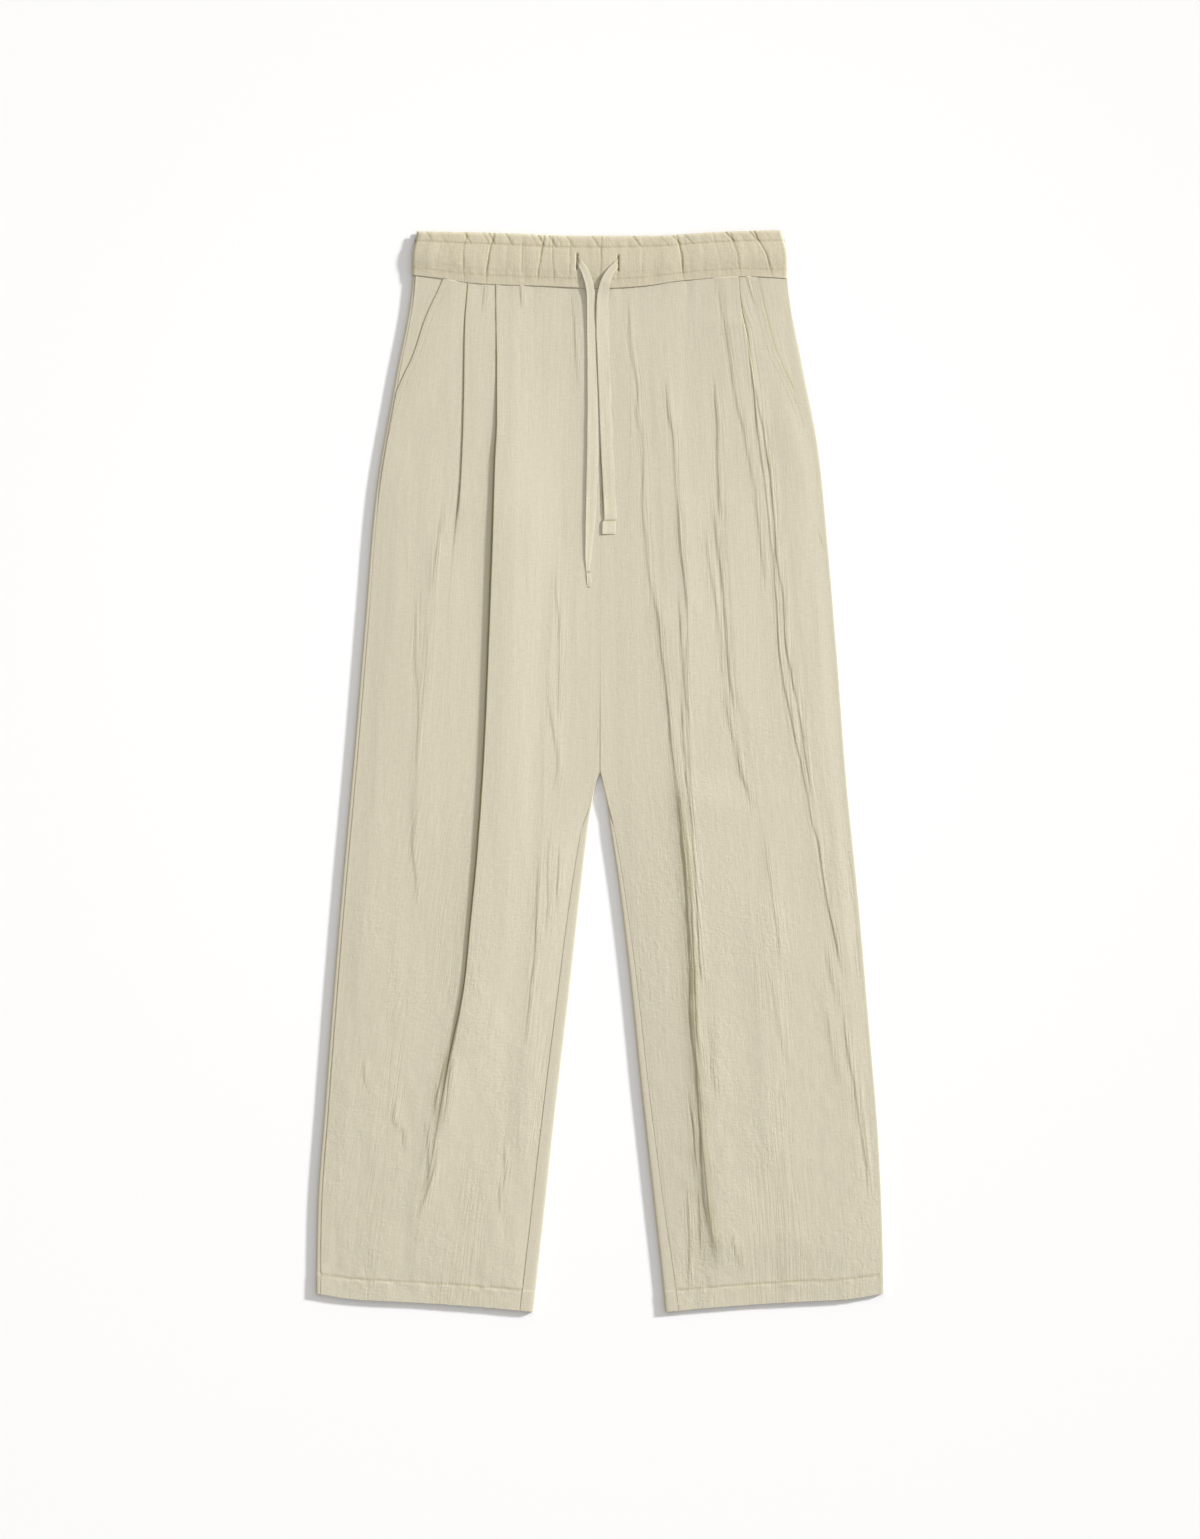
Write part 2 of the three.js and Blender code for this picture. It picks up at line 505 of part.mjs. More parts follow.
// The section line of a back: flat below, rolled round each side fold to its seam on the front.
// The turn at the inner side opens out to nothing at the crotch, where the centre seam begins.
function backSection(leg, y) {
  const rise = hemExtra(y);
  const r = FOLD_RADIUS + rise / 2;
  const low = Z_BACK + rise / 2;
  const line = [];
  const sideAxis = -(leg.outer(y) - FOLD_REACH);
  line.push({ m: sideAxis + leg.sideWrap(y) - FOLD_REACH, z: low + 2 * r });
  for (let i = 0; i <= TURN_STEPS; i += 1) {
    const a = (Math.PI * i) / TURN_STEPS;
    line.push({ m: sideAxis - r * Math.sin(a), z: low + r * (1 + Math.cos(a)) });
  }
  const open = smooth(CROTCH_BOTTOM, CROTCH_TOP - 6, y);
  const turn = Math.PI * (1 - open);
  const flange = lerp(leg.innerWrap(y) - FOLD_REACH, CENTRE_FLANGE, open);
  const innerAxis = -lerp(leg.inner(y) + FOLD_REACH, CENTRE_GAP + CENTRE_FLANGE, open);
  for (let i = 1; i < BACK_STEPS; i += 1) {
    line.push({ m: lerp(sideAxis, innerAxis, i / BACK_STEPS), z: low });
  }
  for (let i = 0; i <= TURN_STEPS; i += 1) {
    const a = (turn * i) / TURN_STEPS;
    line.push({ m: innerAxis + r * Math.sin(a) + TURN_APART * i, z: low + r * (1 - Math.cos(a)) });
  }
  const knee = line[line.length - 1];
  line.push({ m: knee.m + flange * Math.cos(turn), z: knee.z + flange * Math.sin(turn) });
  return line;
}

// The pocket facing: a flat strip from the side seam in under the front's slanted edge
function facingSection(leg, y) {
  const from = -leg.seamOut(y);
  const to = -(leg.mouth(y) - FACING_UNDER);
  return [0, 0.5, 1].map((t) => ({ m: lerp(from, to, t), z: Z_FRONT + waistLift(y) }));
}

// Where the columns of the front band stand: the bottom and both shoulders of every furrow
function bandColumns() {
  const ends = SIDE_COLUMNS.map((inset) => inset - HALF_BAND);
  const middle = GATHERS.flatMap(({ x }) => [x - GATHER_SHOULDER, x, x + GATHER_SHOULDER]);
  return [...ends, ...middle, ...ends.map((x) => -x)]
    .sort((a, b) => a - b)
    .filter((x, i, all) => i === 0 || x - all[i - 1] > LEAST_COLUMN);
}

// How deep the furrows are at a place: each is a smooth groove that leans as it rises
function furrow(x, f) {
  return GATHERS.reduce((sum, gather) => {
    const off = (x - gather.x - gather.lean * (f - 0.5)) / (GATHER_SHOULDER * GATHER_SHARE);
    return sum + gather.depth * Math.exp(-off * off);
  }, 0);
}

const bandLeft = curve(BAND_SIDE, 'left');
const bandRight = curve(BAND_SIDE, 'right');
const bandThick = curve(BAND_ROWS, 'thick', 'f');
const bandGather = curve(BAND_ROWS, 'gather', 'f');

// A point of the waistband: column x, row f, height z
function bandPoint(x, f, z, dip) {
  const y = lerp(waistSeam(x), bandTop(x), f) - dip * f * f;
  const t = (x + HALF_BAND) / (2 * HALF_BAND);
  return new THREE.Vector3(lerp(-bandLeft(y), bandRight(y), t), y, z);
}

// Share of full thickness left at a distance in from the band's side: a quarter circle
function sideRound(x) {
  const inside = clamp01((HALF_BAND - Math.abs(x)) / BAND_EDGE);
  return Math.sqrt(1 - (1 - inside) * (1 - inside));
}

function frontBandGeometry() {
  const columns = bandColumns();
  const fromTop = [...BAND_ROWS].reverse();
  const under = (x) => BAND_BACK_THICK + SEAM_GAP
    + (BAND_INSIDE - SEAM_GAP) * (1 - Math.exp(-(HALF_BAND - Math.abs(x)) / BAND_CLOSES));
  const upper = fromTop.map(({ f }) => columns.map((x) => {
    const groove = furrow(x, f);
    const thick = bandThick(f) - groove * bandGather(f);
    const top = under(x) + lerp(BAND_RIM, Math.max(BAND_LEAST, thick), sideRound(x));
    return bandPoint(x, f, top, groove > DEEP_FURROW ? FRILL_DIP : 0);
  }));
  const lower = fromTop.map(({ f }) => columns.map((x) => (
    bandPoint(x, f, under(x), furrow(x, f) > DEEP_FURROW ? FRILL_DIP : 0)
  )));
  return solidBetween(upper, lower, false);
}

function backBandGeometry() {
  const { inset, steps } = BACK_BAND;
  const columns = [
    ...inset.map((d) => d - HALF_BAND),
    ...Array.from({ length: steps + 1 }, (_, i) => BACK_BAND.middle * ((2 * i) / steps - 1)),
    ...inset.map((d) => HALF_BAND - d).reverse(),
  ];
  const rows = Array.from({ length: BACK_BAND.rows + 1 }, (_, i) => 1 - i / BACK_BAND.rows);
  const upper = rows.map((f) => columns.map((x) => bandPoint(x, f, BAND_BACK_THICK, 0)));
  const lower = rows.map((f) => columns.map((x) => (
    bandPoint(x, f, BAND_UNDER_ROUND * (1 - sideRound(x)), 0)
  )));
  return solidBetween(upper, lower, false);
}

// A flat tape with chamfered edges along a smooth route, its width lying level
function tapeGeometry(route) {
  const path = new THREE.CatmullRomCurve3(route.map(({ x, y, z }) => new THREE.Vector3(x, y, z)));
  const frames = path.computeFrenetFrames(TAPE_STEPS, false);
  const thin = new THREE.Vector2(frames.normals[0].z, frames.binormals[0].z).normalize();
  const wide = new THREE.Vector2(thin.y, -thin.x);
  const w = TAPE_WIDTH / 2;
  const t = TAPE_THICK / 2;
  const outline = [
    [w, t - TAPE_BEVEL], [w - TAPE_BEVEL, t], [TAPE_BEVEL - w, t], [-w, t - TAPE_BEVEL],
    [-w, TAPE_BEVEL - t], [TAPE_BEVEL - w, -t], [w - TAPE_BEVEL, -t], [w, TAPE_BEVEL - t],
  ].map(([a, b]) => new THREE.Vector2().addScaledVector(wide, a).addScaledVector(thin, b));
  return new THREE.ExtrudeGeometry(new THREE.Shape(outline), {
    steps: TAPE_STEPS, extrudePath: path, bevelEnabled: false,
  });
}

// Solid library for the two buttonhole slots
const wasm = await Module();
wasm.setup();

function toSolid(geometry) {
  const bare = geometry.clone();
  bare.deleteAttribute('normal');
  bare.deleteAttribute('uv');
  const merged = mergeVertices(bare);
  return new wasm.Manifold(new wasm.Mesh({
    numProp: 3,
    vertProperties: merged.attributes.position.array,
    triVerts: Uint32Array.from(merged.index.array),
  }));
}

function toGeometry(solid) {
  const mesh = solid.getMesh();
  const geometry = new THREE.BufferGeometry();
  geometry.setAttribute('position', new THREE.BufferAttribute(mesh.vertProperties, 3));
  geometry.setIndex(new THREE.BufferAttribute(mesh.triVerts, 1));
  return geometry;
}

// The front band with a slot for each buttonhole, cut from above to a set depth
function slottedBand() {
  const floor = BAND_BACK_THICK + BAND_INSIDE + bandThick(0.5) - BUTTONHOLE.depth;
  const tall = 2 * BUTTONHOLE.depth + 2;
  return toGeometry(BUTTONHOLES.reduce((solid, { x, y }) => {
    const slot = new THREE.BoxGeometry(BUTTONHOLE.width, BUTTONHOLE.length, tall);
    slot.translate(x, y, floor + tall / 2);
    return solid.subtract(toSolid(slot));
  }, toSolid(frontBandGeometry())));
}

function piece(name, geometry, colour) {
  geometry.computeVertexNormals();
  const material = new THREE.MeshStandardMaterial({
    color: colour, roughness: ROUGHNESS, metalness: 0,
  });
  const mesh = new THREE.Mesh(geometry, material);
  mesh.name = name;
  return mesh;
}

const trousers = new THREE.Group();
trousers.name = 'trousers';

for (const name of ['left', 'right']) {
  const leg = makeLeg(name);
  const side = new THREE.Group();
  const levels = rowLevels();
  side.add(piece(`back_${name}`, panel(leg, levels, backSection, wallAt), COLOURS.back));
  side.add(piece(`front_${name}`, panel(leg, levels, frontSection, wallAt), COLOURS.front));
  const beside = levels.filter((y) => y > POCKET_END - 1);
  const facing = panel(leg, beside, facingSection, () => WALL);
  side.add(piece(`pocket_facing_${name}`, facing, COLOURS.facing));
  trousers.add(side);
}

const waistband = new THREE.Group();
waistband.add(piece('waistband_back', backBandGeometry(), COLOURS.band));
waistband.add(piece('waistband_front', slottedBand(), COLOURS.band));
trousers.add(waistband);

const drawstring = new THREE.Group();
for (const [name, route] of Object.entries(TAPES)) {
  drawstring.add(piece(name, tapeGeometry(route), COLOURS.tape));
}
trousers.add(drawstring);

export default trousers;
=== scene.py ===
"""Wide-leg pull-on trousers in light crinkled cloth, laid flat on a pale floor, front up.

Sizes are in millimetres in the tables and turned into metres where a mesh is made. +X points right
as the front is seen, +Y from hem to waist, +Z up. A leg's functions give a place by p, its distance
out from the centre line, and by y, the level of a row at mid-leg.
"""

import math

import bmesh
import bpy
import numpy as np
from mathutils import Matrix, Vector
from mathutils.bvhtree import BVHTree


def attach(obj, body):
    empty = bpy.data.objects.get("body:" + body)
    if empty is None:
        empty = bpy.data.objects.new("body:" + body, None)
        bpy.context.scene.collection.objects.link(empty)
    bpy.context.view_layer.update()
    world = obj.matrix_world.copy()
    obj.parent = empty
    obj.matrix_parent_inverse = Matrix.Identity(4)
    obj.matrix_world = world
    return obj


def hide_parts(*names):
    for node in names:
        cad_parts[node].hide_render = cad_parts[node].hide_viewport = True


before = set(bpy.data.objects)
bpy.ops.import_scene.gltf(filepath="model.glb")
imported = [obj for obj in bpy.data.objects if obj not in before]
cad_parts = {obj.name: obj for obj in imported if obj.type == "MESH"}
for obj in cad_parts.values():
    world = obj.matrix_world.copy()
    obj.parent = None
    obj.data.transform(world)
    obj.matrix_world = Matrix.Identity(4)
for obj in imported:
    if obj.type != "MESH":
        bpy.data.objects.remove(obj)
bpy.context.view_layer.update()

MM = 0.001

# Cloth, layers and seams
CLOTH = 0.5                 # thickness of one layer as drawn
WALL = 1.0                  # thickness of one layer in the solids
INSIDE = 1.8                # space between back and front inside a leg, in the solids
LAYER = 1.35                # rise from one layer of a pleat to the next
SEAM_GAP = 0.3              # between the legs and the waistband
SEAM_JOIN = 0.04            # half of the gap between two sewn edges
SEAM_STEP = 0.12            # the cloth at the right of a seam stands over that at its left
SEAM_REACH = 1.2            # width over which that step settles
TOP_FRONT = 2 * WALL + INSIDE
Z_FRONT = TOP_FRONT - CLOTH / 2
Z_BACK = CLOTH / 2
HEM_DEPTH = 20.0
HEM_EXTRA = 0.5             # what the turned-up hem adds to the height
PUFF = 0.9                  # rise of the middle of a leg over its sides
PUFF_REACH = 24.0           # width over which it rises
POCKET_LIFT = 0.42          # rise of a front over the facing under it
FACING_UNDER = 12.0         # how far the facing runs in under the front
RIM = 0.12                  # a close column beside each raw edge keeps its shading narrow

# Pleats and side folds
PLEAT_RADIUS = LAYER / 2
PLEAT_SETTLE = 70.0         # width over which the raised cloth settles back down
PLEAT_DENT = 0.18           # dip in the layer under a pleat's edge
LEAST_UNDER = 0.4           # the shortest run back under a pleat's edge
FLAT_SPREAD = 0.55          # spacing of a pleat's columns where it lies open
SWELL_REACH = 4.5           # width over which the cloth swells up to a pleat
FOLD_POWER = 5.0            # 2 would make the side folds oval; above it they are squarer
# columns across the rolled-over cloth, from its seam (0) to the fold (1)
FOLD_PLACES = (0.0, 0.2, 0.45, 0.68, 0.84, 0.94, 0.985, 1.0)

# Levels of the rows at mid-leg
TOP = 488.0
HEM = -532.0
HEM_SEAM = HEM + HEM_DEPTH
ROW_STEP = 37.0             # of the solids
CROTCH_TOP = 7.0
CROTCH_BOTTOM = -21.0
WAIST_SPREAD = 110.0        # over these the rows bend to the waist seam and to the hem
HEM_SPREAD = 140.0
WAIST_LIFT = 0.5            # rise of the cloth up to the waistband
POCKET_END = TOP - 4 * ROW_STEP

# Fineness of the meshes
FRONT_ROW_STEP = 4.8
BACK_ROW_STEP = 6.0
FRONT_STEPS = {"left": (86, 38, 160), "right": (96, 68, 118)}    # beside and between the pleats
BACK_STEPS = 84
TURN_STEPS = 7              # round each fold
INNER_STEP = 4              # a front's inner face keeps each fourth row
FACING_ROWS, FACING_COLUMNS = 50, 30
BAND_COLUMNS, BAND_ROW_COUNT = 410, 50
TAPE_RINGS, TAPE_SIDES = 260, 36
THREAD_SIDES = 6

# The camera's picture: one millimetre of garment to one pixel of a 1200 x 1539 frame
PICTURE_HIGH = 1539.0
PICTURE_CENTRE = (-0.15, 1.5)
LENS, SENSOR = 100.0, 36.0


def rows(names, *values):
    """A table with named columns from rows of values."""
    return dict(zip(names.split(), np.array(values, float).T))


def smooth(start, end, t):
    """0 before start, 1 after end, and an S-shaped rise between them."""
    s = np.clip((t - start) / (end - start), 0, 1)
    return s * s * (3 - 2 * s)


def mix(a, b, t):
    return a + (b - a) * t


def bell(off, width):
    """1 in the middle, falling off like a bell on both sides."""
    return np.exp(-((off / width) ** 2))


def crest(off, left, right):
    """1 in the middle, reached ever more steeply from the left, a bell on the right."""
    return np.where(off < 0, np.exp(np.minimum(0, off) / left), bell(off, right))


def between(y, top, bottom, past, fade):
    """1 between two levels, fading to 0 a little past them."""
    return smooth(top + past, top - fade, y) * smooth(bottom - past, bottom + fade, y)


def curve(table, column, by="y"):
    """A function through a table: cubic pieces whose end slopes are harmonic means of the slopes
    of the intervals on either side, so that it never overshoots. Flat past both ends."""
    order = np.argsort(table[by])
    at, value = table[by][order], table[column][order]
    gap = np.diff(at)
    slope = np.diff(value) / gap
    tangent = np.zeros_like(value)
    tangent[0], tangent[-1] = slope[0], slope[-1]
    turning = slope[:-1] * slope[1:] <= 0
    before = gap[:-1] + 2 * gap[1:]
    after = 2 * gap[:-1] + gap[1:]
    safe = np.where(turning, 1.0, slope[:-1]), np.where(turning, 1.0, slope[1:])
    tangent[1:-1] = np.where(turning, 0, (before + after) / (before / safe[0] + after / safe[1]))

    def value_at(t):
        t = np.clip(t, at[0], at[-1])
        i = np.clip(np.searchsorted(at, t) - 1, 0, len(gap) - 1)
        s = (t - at[i]) / gap[i]
        lead = s * (1 - s) ** 2 * gap[i] * tangent[i]
        trail = s * s * (1 - s) * gap[i] * tangent[i + 1]
        return mix(value[i], value[i + 1], s * s * (3 - 2 * s)) + lead - trail

    return value_at


def noise(x, y, cell_x, cell_y, seed):
    """Smooth random heights from -1 to 1: random values on a grid of cells, blended by S-curves."""
    size = 257
    lattice = np.random.default_rng(seed).uniform(-1, 1, (size, size))
    u, v = x / cell_x + 64.5, y / cell_y + 64.5
    i, j = np.floor(u).astype(int), np.floor(v).astype(int)
    s, t = smooth(0, 1, u - i), smooth(0, 1, v - j)

    def at(a, b):
        return lattice[a % size, b % size]

    low = mix(at(i, j), at(i + 1, j), s)
    high = mix(at(i, j + 1), at(i + 1, j + 1), s)
    return mix(low, high, t)


# Outline and seams of the two legs
LEG_TABLES = {
    "left": {
        "sign": -1,
        "outer": rows(
            "y p", (496, 187.4), (482, 188.4), (391, 204.9), (271, 225.1), (151, 235.2),
            (31, 245.1), (-149, 261.1), (-329, 275.1), (-449, 283.2), (-523, 284.15),
            (-541, 284.15)),
        "inner": rows(
            "y p", (0, 0), (-16, 5.2), (-39, 9.2), (-69, 13.2), (-129, 20.2), (-219, 30.2),
            (-339, 44.2), (-459, 57.2), (-541, 66.3)),
        "side_wrap": rows("y w", (496, 3), (300, 3.5), (-541, 4.5)),
        "inner_wrap": rows("y w", (-16, 3), (-62, 7), (-179, 11), (-541, 14)),
        "mouth": rows(
            "y p", (496, 154), (481, 160.2), (449, 175.1), (412, 188), (392, 198),
            (358, 212.2), (320, 228)),
    },
    "right": {
        "sign": 1,
        "outer": rows(
            "y p", (496, 187.6), (482, 188.8), (411, 201.9), (321, 218.9), (231, 227.9),
            (111, 237.9), (-9, 246.9), (-129, 258.9), (-249, 269.1), (-369, 278.9),
            (-459, 282.9), (-522, 284.15), (-541, 284.15)),
        "inner": rows(
            "y p", (0, 0), (-21, 4.9), (-62, 10.9), (-109, 17.9), (-209, 29.9), (-309, 39.9),
            (-409, 50.9), (-509, 61.9), (-541, 65)),
        "side_wrap": rows(
            "y w", (496, 2), (469, 3.5), (421, 13), (382, 14), (328, 7), (280, 4.5), (-541, 4.5)),
        "inner_wrap": rows("y w", (-16, 3), (-179, 6), (-400, 9), (-541, 14)),
        "mouth": rows(
            "y p", (496, 156), (481, 159.9), (451, 166.9), (421, 174.9), (382, 192.9),
            (352, 204.4), (328, 210.9), (280, 228)),
    },
}
WAIST_SEAM = rows(
    "x y", (-188, 495.5), (-155, 491.5), (-125, 487), (-50, 484), (0, 482), (40, 484), (85, 490),
    (148, 494), (188, 492))
HEM_LINE = rows("s y", (0, -522.5), (0.17, -528.3), (0.43, -531.3), (0.75, -536), (1, -541))
BAND_TOP = rows(
    "x y", (-184, 539.7), (-100, 538), (-28, 535.2), (56, 535.4), (120, 539), (184, 541))

# Pleats: place of the folded edge, how far the cloth runs back under it, turn of its fold, the
# share of a full layer by which it stands up, and how far the cloth beside it swells up to it
PLEATS = {
    "left": (
        rows(
            "y p under turn rise swell", (488, 132.4, 12, 180, 0.06, 0), (440, 135.6, 10, 180, 0.22, 0),
            (380, 136.4, 7, 180, 0.28, 0), (290, 139.6, 0, 180, 0.3, 0), (246, 144.4, 0, 60, 0.4, 0),
            (190, 150, 0, 10, 0.4, 0), (70, 160, 0, 0, 0.4, 0), (-130, 180, 0, 0, 0.4, 0),
            (-330, 205, 0, 0, 0.4, 0), (-541, 230, 0, 0, 0.4, 0)),
        rows(
            "y p under turn rise swell", (488, 104.3, 14, 180, 0.06, 0), (400, 103.4, 12, 180, 0.24, 0),
            (350, 103.4, 12, 180, 0.5, 0.3), (310, 105.3, 11, 180, 0.6, 0.8),
            (250, 107, 10, 180, 0.6, 1.2), (171, 109.8, 9, 180, 0.6, 1.3),
            (18, 116.1, 6, 180, 0.6, 1.2), (-84, 123.1, 3, 180, 0.55, 1.0),
            (-160, 130.5, 0, 180, 0.5, 0.8), (-208, 135.1, 0, 180, 0.5, 0.7),
            (-295, 152.1, 0, 90, 0.5, 0.7), (-397, 170, 0, 30, 0.5, 0.5),
            (-470, 184, 0, 8, 0.4, 0.2), (-541, 192, 0, 0, 0.4, 0)),
    ),
    "right": (
        rows(
            "y p under turn rise swell", (488, 138.5, 6, 180, 0.24, 0), (459, 141.8, 3, 180, 0.15, 0),
            (426, 149, 0, 100, 0.16, 0), (341, 160, 0, 30, 0.25, 0), (188, 176, 0, 20, 0.3, 0),
            (82, 186, 0, 20, 0.3, 0), (-8, 204.9, 0, 20, 0.3, 0), (-110, 224.9, 0, 10, 0.3, 0),
            (-186, 240.9, 0, 0, 0.3, 0), (-270, 249, 0, 0, 0.3, 0), (-541, 258, 0, 0, 0.3, 0)),
        rows(
            "y p under turn rise swell", (488, 84.9, 0, 25, 0.2, 0), (462, 87, 0, 0, 0.15, 0),
            (430, 88.6, 0, 0, 0.3, 0), (340, 89.9, 0, 0, 0.3, 0), (171, 90.9, 0, 0, 0.3, 0),
            (-59, 94, 0, 0, 0.3, 0), (-227, 96, 0, 0, 0.3, 0), (-353, 103.9, 0, 0, 0.3, 0),
            (-467, 115.9, 0, 0, 0.3, 0), (-541, 118, 0, 0, 0.3, 0)),
    ),
}

waist_seam = curve(WAIST_SEAM, "y", "x")
hem_line = curve(HEM_LINE, "y", "s")
band_top = curve(BAND_TOP, "y", "x")


# How much the seams show, from 0 to 1, down each leg, both in the cloth's step at them and in
# their painted shade: the outer one and the inner one, which is the centre seam above the crotch
SEAMS_SHOW = {
    "left": rows(
        "y outer inner", (496, 0.3, 0), (470, 0.05, 0), (170, 0.05, 0), (140, 0.8, 0.05),
        (90, 1, 0.15), (40, 1, 0.7), (0, 1, 0.7), (-20, 1, 0.5), (-90, 1, 0.8),
        (-160, 1, 0.9), (-541, 1, 1)),
    "right": rows(
        "y outer inner", (496, 0.5, 0), (300, 0.5, 0), (270, 0.12, 0), (140, 0.05, 0.05),
        (90, 0.05, 0.15), (40, 0.05, 0.6), (0, 0.05, 0.6), (-20, 0.05, 0), (-440, 0.05, 0),
        (-480, 0.05, 0.5), (-541, 0.05, 0.6)),
}


class Leg:
    """One leg's tables made into curves, with the places of its seams."""

    def __init__(self, name):
        tables = LEG_TABLES[name]
        self.name, self.sign = name, tables["sign"]
        self.outer = curve(tables["outer"], "p")
        self.inner_fold = curve(tables["inner"], "p")
        self.side_wrap = curve(tables["side_wrap"], "w")
        self.inner_wrap = curve(tables["inner_wrap"], "w")
        self.mouth = curve(tables["mouth"], "p")
        self.outer_shows = curve(SEAMS_SHOW[name], "outer")
        self.inner_shows = curve(SEAMS_SHOW[name], "inner")
        self.pleats = [
            tuple(curve(table, column) for column in ("p", "under", "turn", "rise", "swell"))
            for table in PLEATS[name]
        ]

    def inner(self, y):
        return np.where(y > 0, 0, self.inner_fold(np.minimum(y, 0)))

    def seam_out(self, y):
        return self.outer(y) - self.side_wrap(y) - SEAM_JOIN

    def front_out(self, y):
        slanted = np.minimum(self.mouth(y), self.seam_out(y))
        return np.where(y > POCKET_END - 1, slanted, self.seam_out(y))

    def seam_in(self, y):
        """The front's inner edge: at the inseam, at the leg's very edge near the crotch, and at
        the centre seam above it."""
        wrap = self.inner_wrap(y) * smooth(CROTCH_BOTTOM + 4, CROTCH_BOTTOM - 44, y)
        return mix(self.inner(y) + 0.3 + wrap, SEAM_JOIN, smooth(-5, 1, y))

    def place(self, y, p, z):
        """Points from row levels, distances out and heights. Rows bend to the waist seam at their
        top end and to the hem at their lower end, and keep their share of the leg's width."""
        s = (self.outer(y) - p) / (self.outer(y) - self.inner(y))
        to_waist = smooth(TOP - WAIST_SPREAD, TOP, y)
        to_hem = smooth(HEM_SEAM + HEM_SPREAD, HEM_SEAM, y)
        waist_shift = waist_seam(self.sign * p) - SEAM_GAP - TOP
        level = y + to_waist * waist_shift + to_hem * (hem_line(np.clip(s, 0, 1)) - HEM)
        across = self.outer(level) - s * (self.outer(level) - self.inner(level))
        return np.stack([self.sign * across, level, z], axis=-1)
